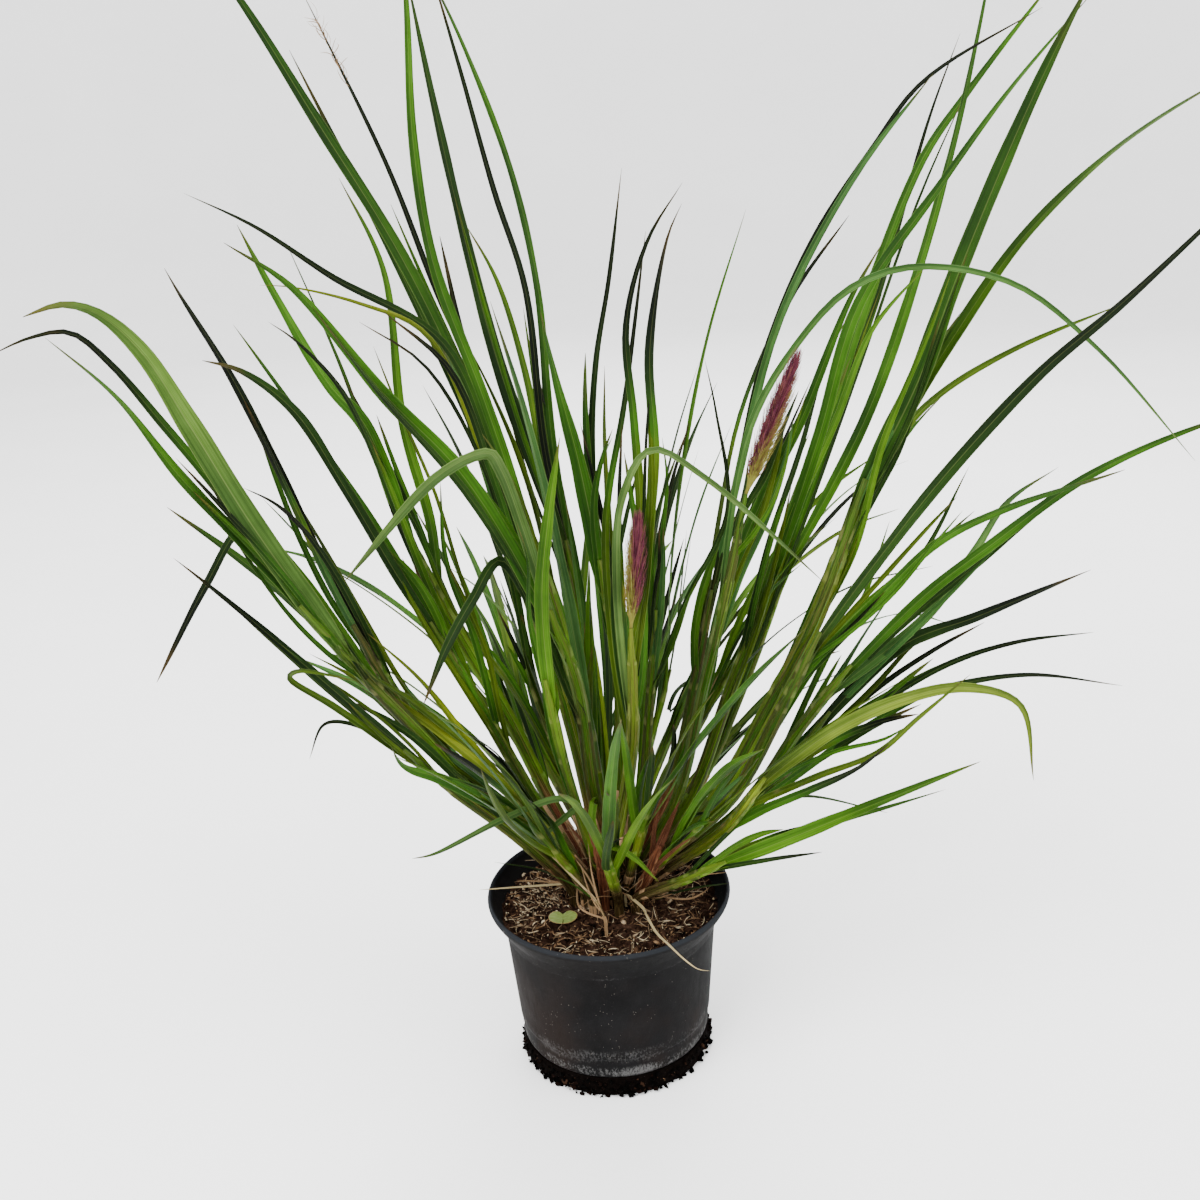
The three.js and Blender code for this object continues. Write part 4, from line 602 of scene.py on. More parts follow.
class Form:
    """Corners, faces and what the finish reads at each corner, gathered piece by piece."""

    def __init__(self):
        self.corners, self.faces, self.places, self.looks = [], [], [], []
        self.count = 0

    def add(self, corners, faces, places, looks):
        """Adds a surface: corners (n, 3), faces as lists of corner numbers in arrays of one width,
        a place on the pattern for each corner (n, 2), and its look (n, 4)."""
        self.corners.append(corners)
        self.places.append(np.broadcast_to(places, (len(corners), 2)))
        self.looks.append(np.broadcast_to(looks, (len(corners), 4)))
        self.faces += [part + self.count for part in faces]
        self.count += len(corners)

    def tube(self, rings, places, looks):
        """A closed surface from rings (m, k, 3): four-sided faces between them, and a fan to the
        middle of the first and the last ring. It is turned round if its volume is below zero."""
        m, k = rings.shape[:2]

        def with_middles(part, width):
            part = np.broadcast_to(part, (m, k, width))
            return np.concatenate([part.reshape(-1, width), part[:1].mean(axis=1), part[-1:].mean(axis=1)])

        sides, first = bands(k, m), np.arange(k)
        last = first + (m - 1) * k
        bottom = np.stack([np.roll(first, -1), first, np.full(k, m * k)], axis=-1)
        top = np.stack([last, np.roll(last, -1), np.full(k, m * k + 1)], axis=-1)
        corners = with_middles(rings, 3)
        faces = [sides, bottom, top]
        a, b, c, d = (corners[sides[:, i]] - corners[0] for i in range(4))
        if np.sum(np.cross(a, b) * c) + np.sum(np.cross(a, c) * d) < 0:
            faces = [part[:, ::-1] for part in faces]
        self.add(corners, faces, with_middles(places, 2), with_middles(looks, 4))

    def copies(self, corners, looks, *patterns):
        """Many small surfaces: corners (n, k, 3), patterns of faces (f, w), and a look for each copy
        (n, 4) or for each of its corners (n, k, 4)."""
        n, k = corners.shape[:2]
        first = (np.arange(n) * k)[:, None, None]
        faces = [(pattern + first).reshape(-1, pattern.shape[1]) for pattern in patterns]
        looks = np.broadcast_to(looks.reshape(n, -1, 4), (n, k, 4)).reshape(-1, 4)
        self.add(corners.reshape(-1, 3), faces, (0.0, 0.0), looks)

    def piece(self, name, finish, slot, nodes=(), soft=True):
        """Makes the mesh, gives it its finish and rides it on the root in place of its solids."""
        corners = np.concatenate(self.corners) / 1000
        mesh = bpy.data.meshes.new(name)
        loops = np.concatenate([part.reshape(-1) for part in self.faces])
        sizes = np.concatenate([np.full(len(part), part.shape[1]) for part in self.faces])
        mesh.vertices.add(len(corners))
        mesh.vertices.foreach_set("co", corners.astype(np.float32).ravel())
        mesh.loops.add(len(loops))
        mesh.loops.foreach_set("vertex_index", loops.astype(np.int32))
        mesh.polygons.add(len(sizes))
        mesh.polygons.foreach_set("loop_start", (np.cumsum(sizes) - sizes).astype(np.int32))
        mesh.update(calc_edges=True)
        layer = mesh.uv_layers.new(name="along")
        layer.data.foreach_set("uv", np.concatenate(self.places)[loops].astype(np.float32).ravel())
        look = mesh.attributes.new("look", "FLOAT_COLOR", "POINT")
        look.data.foreach_set("color", np.concatenate(self.looks).astype(np.float32).ravel())
        if soft:
            mesh.shade_smooth()
        mesh.validate()
        mesh.materials.append(finish)
        piece = shown(name, mesh)
        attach(piece, "root")
        if nodes:
            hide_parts(*nodes)
        return piece


# --- Leaves, sheaths and stems ---------------------------------------------------------------------

SHEATH_ROWS, BLADE_ROWS, BLADE_COLUMNS = 13, 44, 8
YOUNG_ROWS, YOUNG_COLUMNS = 24, 5
# Half the angle that a sheath goes round the stem, and how far the rib reaches across the blade
SHEATH_WRAP, RIB_REACH = 2.7, 0.2

# Each blade's tone in the photograph, blade by blade: n near-black, d dark, m middle, o olive,
# r russet, f fresh, y yellowing, b bluish and g greyish green. A capital has a black tip.
# The near-black tone n and the black tips are painted shade: blades and tips that stand in shadow.
TONE_STEPS = dict(zip("ndmorfybg", (0.0, 0.14, 0.3, 0.44, 0.46, 0.58, 0.72, 0.86, 1.0)))
DRY_STEPS = {"y": 0.3, "r": 0.5}
TONES = {
    "low_left": "mgd", "outer_left": "mbMD", "folded_left": "DoM", "yellow_left": "yy",
    "dark_left": "nDm", "mid_left": "dmfm", "broad_left": "mDdf", "arching_left": "mgd",
    "crossing_left": "Dym", "tall_left": "dnmm", "high_left": "dnmf", "broad_centre": "mDm",
    "bright_centre": "fm", "redhead_centre": "oOgOO", "fine_centre": "mdD", "dark_arch": "Dd",
    "redhead_right": "dbm", "upright_right": "mmD", "split_right": "mfd", "broad_right": "dmof",
    "leaning_right": "Dmd", "forked_right": "mbm", "flat_right": "DD", "yellow_right": "yDr",
    "low_right": "fmdD", "dry_straw_front": "g", "dry_straw_rim": "gd",
}
CROWD_TONES = "ddmmmofb"
# Blades that keep their width almost to the end
BLUNT = {
    "arching_left": (1, 2), "low_left": (1,), "redhead_centre": (0, 2), "redhead_right": (0,), "dark_left": (0,),
    "mid_left": (0,), "leaning_right": (1,), "outer_left": (3,),
}
# Shoots with red-brown old sheaths, and blades narrower than the rest
RUSTY = ("crossing_left", "arching_left", "tall_left", "broad_left", "dark_arch")
SLIM = {("redhead_right", 1): 0.75, ("dry_straw_front", 0): 0.55}
# Blades that turn over too sharply for a young one to grow beside them
ARCHED = {
    "redhead_centre": (2,), "redhead_right": (1,), "arching_left": (1, 2), "low_left": (1,), "outer_left": (3,),
    "yellow_right": (0,), "folded_left": (1, 2),
}
# A strap that hangs down before the crown: its pixels, and how near each stands
HANGING = np.array([
    (593, 806, 52), (592, 820, 56), (596, 834, 59), (608, 844, 61), (622, 850, 62), (637, 860, 62), (648, 871, 60),
    (659, 882, 56)], float)


def leaf(form, stem, blade, shoot, layer, tone, rng, thickness, size=(BLADE_ROWS, BLADE_COLUMNS)):
    """One leaf: a sheath wrapped round the stem from the soil up, that opens into a blade.

    Its middle line follows the stem's curve up to the blade's root and then the blade's. Across it,
    u goes from -1 to 1. On the sheath the section is part of an ellipse, SHEATH_WRAP each way, and on
    the blade it is a shallow V, the width times u across and the fold times u to the power 1.3 up,
    with a slow ripple. The two are mixed by a smooth step just past the root. The thickness is
    greatest at u = 0, where the rib stands under the blade, and the width tapers to the tip as
    (1 - s to the power sharp) to the power 0.9. The tone is its tint, how dry it is, how black its
    tip is, its sheath's age and whether it has a blade."""
    tint, dry, black, age, green = tone
    sharp = blade.get("sharp", 2.2)
    count, columns = size
    curve = Curve(blade["points"])
    root = blade["from"] - ROOTED
    out = soil_share(stem)
    sheath = np.linspace(min(out * 0.55, root * 0.5), root, SHEATH_ROWS, endpoint=False)
    s = np.linspace(0, 0.995, count) ** 0.94
    drift = (stem.at(root) - curve.at(0)) * (1 - smooth(s / 0.12))[:, None]
    centre = np.concatenate([stem.at(sheath), curve.at(s) + drift])
    tangent = unit(np.gradient(centre, axis=0))
    share = np.concatenate([np.zeros(SHEATH_ROWS), s])
    open_up = smooth(share / 0.13)[:, None]

    lean = np.radians(blend(*blade["turn"], share)) * smooth(share / 0.1)
    lean = lean + np.radians(9) * smooth(share / 0.3) * np.sin(share * rng.uniform(6, 11) + rng.uniform(0, 6.3))
    a = across_at(tangent, shoot["facing"], 0)
    b = across_at(tangent, blade["facing"], lean)
    across = unit(blend(a, b, smooth(share / 0.08)[:, None]))
    face = np.cross(tangent, across)

    u = np.linspace(-1, 1, columns)[None]
    rise = smooth((np.concatenate([sheath, np.full(count, root)]) - out) / FLATTENS)
    gap = (0.2 + 0.24 * layer) * blend(0.45, 1, rise)
    wide, deep = ((half + gap)[:, None] for half in stem_section(shoot, rise))
    angle = u * SHEATH_WRAP
    half = blade["width"] / 2 * (1 - share ** sharp) ** 0.9 * blend(0.6, 1, smooth(share / 0.24))
    half = half[:, None] * (1 + 0.03 * np.sin(share * 31 + rng.uniform(0, 6))[:, None])
    ripple = 0.05 * np.sin(share * curve.length / rng.uniform(9, 15) + rng.uniform(0, 6.3))[:, None]
    x = blend(wide * np.sin(angle), half * u, open_up)
    y = blend(-deep * np.cos(angle), half * (FOLD * np.abs(u) ** 1.3 + ripple * u * np.abs(u)), open_up)
    dx, dy = np.gradient(x, axis=1), np.gradient(y, axis=1)
    scale = np.maximum(np.hypot(dx, dy), 1e-6)
    rib = np.exp(-(u / RIB_REACH) ** 2)
    taper = (1 - share ** 6)[:, None]
    thin = thickness * (0.45 + 0.55 * (1 - u ** 2)) * taper / 2
    over, under = thin - 0.12 * rib * open_up * taper, thin + 0.32 * rib * open_up * taper
    rows = []
    for side, order in ((over, slice(None)), (-under, slice(None, None, -1))):
        px, py = x - dy / scale * side, y + dx / scale * side
        rows.append((centre[:, None] + across[:, None] * px[..., None] + face[:, None] * py[..., None])[:, order])
    rings = np.concatenate(rows, axis=1)
    length = np.concatenate([(sheath - root) * stem.length, s * curve.length])
    where = together((u + 1) / 2, length[:, None] / 100)
    where = np.concatenate([where, where[:, ::-1]], axis=1)
    opened = np.broadcast_to(open_up * green, (len(share), 2 * columns))
    # A black tip is painted shade: the tint falls towards the ramp's near-black end near the tip.
    tints = (tint * (1 - black * smooth((share - 0.45) / 0.35)))[:, None]
    told = np.concatenate([np.full(SHEATH_ROWS, -age), blend(-age, s, green)])[:, None]
    form.tube(rings, where, together(opened, tints, dry, told))


def stem_tube(form, stem, shoot, tint, dry, age):
    """The stem inside the sheaths: an ellipse carried along its path, round in the soil, then flat,
    and slim at its end."""
    share = np.linspace(0, 1, 30)
    taper = 1 - 0.6 * smooth((share - 0.86) / 0.14)
    wide, deep = stem_section(shoot, smooth((share - soil_share(stem)) / FLATTENS))
    tangent = stem.tangent(share)
    a = np.linspace(0, 2 * math.pi, 16, endpoint=False)
    rings = ovals(stem.at(share), tangent, across_at(tangent, shoot["facing"], 0), a, wide * taper, deep * taper)
    form.tube(rings, together(a / TURN, (share * stem.length / 100)[:, None]), (0.0, tint, dry, -age))


def young_blade(stem, shoot, rng):
    """A thin blade between two of the shoot's own: the mean of their curves at a random weight, from
    the stem up, with a slight bow."""
    arched = ARCHED.get(shoot["name"].removeprefix("shoot_"), ())
    blades = [blade for blade in shoot["blades"] if blade["rank"] not in arched] or shoot["blades"]
    first, second = (Curve(blades[i]["points"]) for i in rng.integers(0, len(blades), 2))
    start, weight, reach = rng.uniform(0.35, 0.9), rng.uniform(0.15, 0.85), rng.uniform(0.35, 0.85)
    t = np.array([0.3, 0.55, 0.8, 1.0]) * reach
    base = stem.at([start - ROOTED, start])
    way = blend(first.at(t), second.at(t), weight)
    shift = (base[1] - blend(first.at(0), second.at(0), weight)) * (1 - t / reach)[:, None] * 0.6
    bow = rng.normal(0, 5, 3) * np.sin(t / reach * 3.1)[:, None]
    return {"from": start, "points": np.concatenate([base, way + shift + bow]), "width": rng.uniform(2.5, 6.0),
            "sharp": rng.uniform(4, 9), "facing": blades[0]["facing"], "turn": rng.uniform(-60, 60, 2)}


def shoot_form(shoot, rng, thickness, young):
    """A whole shoot: its stem, its leaves from the innermost sheath outwards, thin young blades, and
    old dry sheaths round its foot."""
    form = Form()
    stem = Curve(shoot["points"])
    kind = shoot["name"].removeprefix("shoot_")
    dead, stubs = kind.startswith("dry"), kind.startswith("dry_stubs")
    straw = dead and not stubs
    if straw:
        shoot["thick"] *= 0.5
    letters = TONES.get(kind) or ("mofm" if kind.startswith("front") else None)
    foot = math.dist(shoot["foot"], CROWN) / CROWN_RADIUS
    age = float(np.clip(rng.normal(0.12 + 0.3 * foot, 0.15), 0, 0.75))
    age = 2.0 if stubs else 1.0 if kind in RUSTY else age
    worn = 0.12 if stubs else 1.0
    body = 0.1 + 0.75 * TONE_STEPS[(letters or rng.choice(list(CROWD_TONES)))[0].lower()]
    stem_tube(form, stem, shoot, body, dead * worn, age)
    ordered = sorted(shoot["blades"], key=lambda blade: -blade["from"])
    for layer, blade in enumerate(ordered):
        blade["sharp"] = 7.0 if blade["rank"] in BLUNT.get(kind, ()) else 2.2 if stubs else 3.4
        blade["width"] *= SLIM.get((kind, blade["rank"]), 1)
        letter = letters[blade["rank"] % len(letters)] if letters else rng.choice(list(CROWD_TONES))
        tint = np.clip(TONE_STEPS[letter.lower()] + rng.normal(0, 0.025), 0, 1)
        if straw and kind != "dry_straw_front":
            blade["width"] *= 0.5
        dry = worn if dead and letter != "d" else DRY_STEPS.get(letter, max(0.0, rng.normal(0.02, 0.12)))
        # A capital letter gives the blade a black tip, which is painted shade.
        tone = (tint, dry, float(letter.isupper()), age, 0.0 if stubs else 1.0)
        leaf(form, stem, blade, shoot, layer, tone, rng, thickness)
    count = len(ordered)

    def thin_leaf(blade, layer, tone, rows=YOUNG_ROWS):
        leaf(form, stem, blade, shoot, layer, tone, rng, thickness * 0.8, (rows, YOUNG_COLUMNS))

    if dead:
        for _ in range(0 if stubs or kind == "dry_straw_front" else 3):
            thread = young_blade(stem, shoot, rng) | {"width": rng.uniform(0.8, 1.5)}
            thin_leaf(thread, 0, (0.5, 1.0, 0.0, 0.0, 1.0))
        return form
    for _ in range(2 if kind.startswith("low") else young):
        letter = rng.choice(list(CROWD_TONES + "mfo"))
        # Three young blades in ten get a black tip, which is painted shade.
        tone = (TONE_STEPS[letter], max(0.0, rng.normal(0, 0.2)), float(rng.random() < 0.3), age, 1.0)
        thin_leaf(young_blade(stem, shoot, rng), rng.uniform(0, count), tone)
    for i in range(3):
        start = min(0.7, soil_share(stem) + (0.03 + 0.09 * i + 0.1 * rng.random()))
        at, way = stem.at(start)[0], stem.tangent(start)[0]
        aside = unit(rng.normal(0, 1, 3))
        reach = rng.uniform(9, 24)
        points = np.array([at - way * 3, at, at + way * reach * 0.5 + aside, at + way * reach + aside * 3.4])
        scale = {"from": start + ROOTED, "points": points, "facing": shoot["facing"], "turn": (0, 30),
                 "width": shoot["thick"] * rng.uniform(0.3, 0.7)}
        tone = (body, rng.choice([0.0, 0.0, 0.1, 0.2, 0.3, 0.7]), 0.0, rng.uniform(0.3, 0.7) + age * 0.4, 0.0)
        leaf(form, stem, scale, shoot, count + 1.2 - i * 0.3, tone, rng, thickness, (14, 7))
    if kind == "arching_left":
        hang = placed(HANGING[:, :2], HANGING[:, 2])
        strap = {"from": 0.4, "points": np.concatenate([stem.at([0.35, 0.4]), hang]), "width": 5.2, "sharp": 5,
                 "facing": shoot["blades"][0]["facing"], "turn": (0, 15)}
        thin_leaf(strap, count, (0.6, 0.12, 0.0, age, 1.0), 36)
    return form


# --- Finishes --------------------------------------------------------------------------------------

def colour_setting(name, description, default):
    return bpy.props.FloatVectorProperty(
        name=name, description=description, default=default, size=3, min=0, max=1, subtype="COLOR")


class Finish:
    """A material being put together: each call adds one node and gives its output."""

    def __init__(self, name):
        self.material = bpy.data.materials.new(name)
        self.material.use_nodes = True
        self.tree = self.material.node_tree
        self.tree.nodes.clear()
        self.object = self.add("TexCoord").outputs["Object"]
        self.along = self.add("UVMap", uv_map="along").outputs[0]
        look = self.add("Attribute", attribute_name="look", attribute_type="GEOMETRY")
        self.look = [*self.out("SeparateColor", look.outputs["Color"])[:3], look.outputs["Alpha"]]

    def add(self, kind, **settings):
        node = self.tree.nodes.new("ShaderNode" + kind)
        for key, value in settings.items():
            setattr(node, key, value)
        return node

    def put(self, socket, value):
        if isinstance(value, bpy.types.NodeSocket):
            self.tree.links.new(value, socket)
        elif socket.type == "RGBA" and len(value) == 3:
            socket.default_value = (*value, 1)
        else:
            socket.default_value = value

    def out(self, kind, *values, **settings):
        """A node's outputs, with its inputs set in order."""
        node = self.add(kind, **settings)
        for socket, value in zip(node.inputs, values):
            self.put(socket, value)
        return node.outputs

    def math(self, operation, *values):
        return self.out("Math", *values, operation=operation)[0]

    def times(self, a, b):
        return self.math("MULTIPLY", a, b)

    def plus(self, a, b):
        return self.math("ADD", a, b)

    def less(self, a, b):
        return self.math("SUBTRACT", a, b)

    def split(self, vector):
        return self.out("SeparateXYZ", vector)

    def spread(self, value, low, high, to_low=0.0, to_high=1.0):
        """Maps low..high smoothly to to_low..to_high."""
        return self.out("MapRange", value, low, high, to_low, to_high, interpolation_type="SMOOTHSTEP")[0]

    def noise(self, vector, scale, detail=3.0, rough=0.55):
        """Clouds at a scale, or stretched by three of them."""
        node = self.add("TexNoise")
        if isinstance(scale, tuple):
            stretched = self.add("Mapping")
            self.put(stretched.inputs["Vector"], vector)
            stretched.inputs["Scale"].default_value = scale
            vector, scale = stretched.outputs[0], 1.0
        for name, value in (("Vector", vector), ("Scale", scale), ("Detail", detail), ("Roughness", rough)):
            self.put(node.inputs[name], value)
        return node.outputs[0]

    def ramp(self, value, stops):
        node = self.add("ValToRGB")
        self.put(node.inputs[0], value)
        band = node.color_ramp.elements
        while len(band) < len(stops):
            band.new(0.5)
        for element, (place, _) in zip(band, stops):
            element.position = place
        for element, (_, colour) in zip(band, stops):
            element.color = (*colour, 1)
        return node.outputs[0]

    def mix(self, share, a, b, how="MIX"):
        node = self.add("Mix", data_type="RGBA", blend_type=how)
        for place, value in ((0, share), (6, a), (7, b)):
            self.put(node.inputs[place], value)
        return node.outputs[2]

    def tinted(self, share, colour, by):
        """The colour multiplied by another, by a share."""
        return self.mix(share, colour, by, "MULTIPLY")

    def done(self, colour, roughness, height=None, depth=0.0002, gloss=0.5):
        """The shader, with its bump from a height."""
        shader = self.add("BsdfPrincipled")
        for name, value in (("Base Color", colour), ("Roughness", roughness), ("Specular IOR Level", gloss)):
            self.put(shader.inputs[name], value)
        if height is not None:
            bump = self.add("Bump")
            for name, value in (("Strength", 1.0), ("Distance", depth), ("Height", height)):
                self.put(bump.inputs[name], value)
            self.put(shader.inputs["Normal"], bump.outputs[0])
        self.out("OutputMaterial", shader.outputs[0])
        return self.material


def grass_finish(dark, middle, bright):
    """Green blades with veins, a pale rib, pale edges and dry tips, on sheaths that go from brown and
    purple at the soil to green. Painted shade darkens one half of each blade, as in its fold, makes some
    blades and tips near-black, and darkens all but dry leaves low in the crown."""
    f = Finish("grass")
    opened, tint, dry, told = f.look
    u = f.split(f.along)[0]
    streaks = f.noise(f.along, (38, 0.9, 1), 4, 0.6)
    fine = f.noise(f.along, (90, 2.0, 1), 2, 0.5)
    mottle = f.noise(f.object, 26, 3, 0.6)
    slow = f.noise(f.object, 9, 2, 0.5)
    # The ramp's near-black end is painted shade, for blades that stand in shadow.
    black = tuple(0.16 * c for c in dark)
    green = f.ramp(tint, [
        (0.0, black), (0.14, dark), (0.3, middle), (0.44, (0.065, 0.103, 0.003)), (0.58, bright),
        (0.72, (0.167, 0.19, 0.0061)), (0.86, (0.05, 0.132, 0.025)), (1.0, (0.09, 0.155, 0.032))])
    lines = f.noise(f.along, (9, 0.5, 1), 3, 0.65)
    for cloud, low, high, most, by in (
        (slow, 0.35, 0.62, 1, (0.45, 0.52, 0.5)), (mottle, 0.35, 0.7, 0.8, (0.6, 0.66, 0.5)),
        (lines, 0.52, 0.4, 0.7, (0.5, 0.56, 0.4)),
    ):
        green = f.tinted(f.spread(cloud, low, high, 0, most), green, by)
    lit = f.tinted(1.0, green, (1.7, 1.5, 2.2))
    for cloud, low, high, most in ((lines, 0.54, 0.66, 0.7), (streaks, 0.5, 0.72, 0.8)):
        green = f.mix(f.spread(cloud, low, high, 0, most), green, lit)
    # One half is darker: painted shade, as in the blade's fold
    green = f.tinted(f.spread(u, 0.44, 0.52, 0, 0.75), green, (0.5, 0.58, 0.55))
    off_middle = f.math("ABSOLUTE", f.less(u, 0.5))
    line = f.plus(f.spread(off_middle, 0.012, 0.04, 1, 0), f.spread(off_middle, 0.455, 0.485))
    line = f.times(line, f.spread(opened, 0, 1, 0.1, 0.42))
    green = f.mix(line, green, f.mix(0.25, lit, (0.304, 0.342, 0.106)))
    uneven = f.times(f.less(mottle, 0.5), 0.25)
    tip = f.spread(f.plus(told, uneven), 0.88, 1.02)
    green = f.mix(f.times(tip, 0.6), green, (0.091, 0.053, 0.015))
    collar = f.times(f.spread(opened, 0.0, 0.03), f.spread(opened, 0.05, 0.2, 1, 0))
    green = f.mix(f.times(collar, 0.2), green, (0.213, 0.243, 0.068))

    height = f.split(f.object)[2]
    age = f.math("MAXIMUM", f.times(told, -1.0), 0.0)
    rough_streaks = f.noise(f.along, (30, 2.4, 1), 5, 0.7)
    wander = f.plus(f.times(mottle, 0.025), f.times(rough_streaks, 0.06))
    level = f.less(f.plus(height, wander), f.times(age, 0.062))
    old = f.spread(level, 0.15, 0.19, 1, 0)
    rusty = f.ramp(rough_streaks, [(0.3, (0.006, 0.002, 0.0015)), (0.43, (0.035, 0.01, 0.005)),
                                   (0.54, (0.11, 0.036, 0.016)), (0.68, (0.3, 0.17, 0.08))])
    drab = f.ramp(rough_streaks, [(0.34, (0.004, 0.002, 0.0015)), (0.46, (0.022, 0.012, 0.004)),
                                  (0.56, (0.075, 0.055, 0.016)), (0.7, (0.24, 0.2, 0.09))])
    bark = f.mix(f.spread(age, 0.8, 0.98), drab, rusty)
    stalk = f.mix(f.spread(streaks, 0.36, 0.55, 0.4, 0), f.tinted(1.0, green, (1.45, 1.3, 1.5)),
                  (0.08, 0.073, 0.013))
    stalk = f.mix(f.spread(rough_streaks, 0.52, 0.62, 0, 0.6), stalk, (0.085, 0.045, 0.018))
    stalk = f.mix(f.spread(rough_streaks, 0.47, 0.38, 0, 0.7), stalk, (0.012, 0.011, 0.003))
    sheath = f.mix(old, stalk, bark)
    colour = f.mix(opened, sheath, green)
    straw = f.ramp(streaks, [(0.25, (0.04, 0.018, 0.008)), (0.46, (0.17, 0.095, 0.045)), (0.7, (0.4, 0.29, 0.16))])
    straw = f.mix(f.spread(tint, 0.7, 0.85, 0, 0.6), straw, (0.42, 0.36, 0.19))
    worn = f.plus(dry, f.times(f.less(mottle, 0.5), 0.9))
    # Painted shade low in the crown: all but dry leaves darken towards the soil.
    shade = f.times(f.spread(height, 0.115, 0.155, 0.8, 0), f.spread(dry, 0.3, 0.9, 1, 0))
    colour = f.tinted(shade, colour, (0.3, 0.24, 0.2))
    colour = f.mix(f.spread(worn, 0.5, 0.66), colour, straw)
    ridges = f.math("SINE", f.times(u, 110.0))
    lift = f.plus(f.times(ridges, 0.35), f.plus(fine, streaks))
    roughness = f.spread(fine, 0.3, 0.7, 0.4, 0.6)
    return f.done(colour, roughness, lift, 0.00012, gloss=0.07)


class GRASS_OT_shoots(bpy.types.Operator):
    """Builds every leafy shoot and dry straw on the path of its solid, with blades and sheaths"""

    bl_idname = "potted_grass.shoots"
    bl_label = "Leafy Shoots"

    def execute(self, context):
        look = context.scene.grass_blades
        finish = grass_finish(look.dark, look.middle, look.bright)
        for i, shoot in enumerate(all_shoots()):
            rng = np.random.default_rng(look.seed + i)
            name = shoot["name"]
            shoot = fitted(shoot)
            form = shoot_form(shoot, rng, look.thickness * 1000, look.young)
            if name == "shoot_tall_left":
                culm = Curve(shoot["blades"][1]["points"])
                at, way = culm.at(rng.uniform(0.8, 0.93, 34)), culm.tangent(0.88)
                fibres(form, rng, at, unit(way + rng.normal(0, 0.45, (34, 3))), rng.uniform(5, 14, 34),
                       rng.uniform(0.15, 0.4, 34), np.full(34, 0.2), 0.4)
            slot = "dry_grass" if name.startswith("dry") else "grass"
            form.piece(name.replace("shoot_", "leafy_").replace("dry_", "dead_"), finish, slot, [name])
        return {"FINISHED"}


class GrassBlades(bpy.types.PropertyGroup):
    """The blades' thickness, number and greens"""

    thickness: bpy.props.FloatProperty(
        name="Thickness", description="Thickness of a blade beside its rib", default=0.0004,
        min=0.0001, max=0.001, precision=5, unit="LENGTH")
    young: bpy.props.IntProperty(
        name="Young blades", description="Thin blades between each shoot's own", default=5, min=0)
    dark: colour_setting("Dark green", "The dark blades", (0.013, 0.039, 0.002))
    middle: colour_setting("Middle green", "Most of the blades", (0.034, 0.108, 0.003))
    bright: colour_setting("Fresh green", "The freshest blades", (0.054, 0.14, 0.003))
    seed: bpy.props.IntProperty(
        name="Seed", description="Changes the blades' small differences", default=40)


# --- Pot -------------------------------------------------------------------------------------------

def rounded(profile, reach, steps=4):
    """A profile whose corners are bent: each becomes a curve (1-t)^2 A + 2t(1-t) P + t^2 B between
    the points A and B that lie up to reach before and after it."""
    profile = np.asarray(profile, float)
    p, before, after = profile[1:-1], profile[:-2] - profile[1:-1], profile[2:] - profile[1:-1]
    cuts = [np.minimum(reach, 0.45 * np.linalg.norm(way, axis=1, keepdims=True)) for way in (before, after)]
    a, b = p + unit(before) * cuts[0], p + unit(after) * cuts[1]
    t = np.linspace(0, 1, steps)[None, :, None]
    bent = a[:, None] * (1 - t) ** 2 + 2 * t * (1 - t) * p[:, None] + b[:, None] * t ** 2
    return np.concatenate([profile[:1], bent.reshape(-1, 2), profile[-1:]])


WALL_PROFILE = [
    (FOOT_RADIUS - 1.4, 0), (FOOT_RADIUS, 1.5), (FOOT_RADIUS + 0.4, FOOT_HEIGHT),
    (BODY_FOOT_RADIUS, FOOT_HEIGHT + 3), (BODY_FOOT_RADIUS + 0.6, BAND_HEIGHT),
    (BODY_FOOT_RADIUS + 1.5, BAND_HEIGHT + 1.5), (BODY_TOP_RADIUS, FLARE_START),
    (BODY_TOP_RADIUS + 2.6, FLARE_START + 8), (BODY_TOP_RADIUS + 7.4, FLARE_START + 15.5),
    (RIM_RADIUS - 0.8, FLARE_START + 21), (RIM_RADIUS, POT_HEIGHT - 2.4), (RIM_RADIUS - 1.4, POT_HEIGHT)]
LINING_PROFILE = [
    (RIM_RADIUS - 2.6, POT_HEIGHT - 0.7), (RIM_RADIUS - 3.6, FLARE_START + 20.6),
    (BODY_TOP_RADIUS + 5.6, FLARE_START + 16), (BODY_TOP_RADIUS + 1, FLARE_START + 8.6),
    (BODY_TOP_RADIUS - WALL, FLARE_START), (BODY_FOOT_RADIUS - WALL, FOOT_HEIGHT + 4),
    (FOOT_RADIUS - WALL, FOOT_HEIGHT), (FOOT_RADIUS - WALL - 0.3, WALL + 1)]


def turned(form, profile, sides, look=(0, 0, 0, 0)):
    """A surface of revolution: the profile (radius, height) at each angle, closed on the axis by a
    fan at each end."""
    a = np.linspace(0, 2 * math.pi, sides, endpoint=False)
    radius, height = profile[:, :1], profile[:, 1:]
    form.tube(polar(radius, a, height), together(a / TURN, height / 100), look)


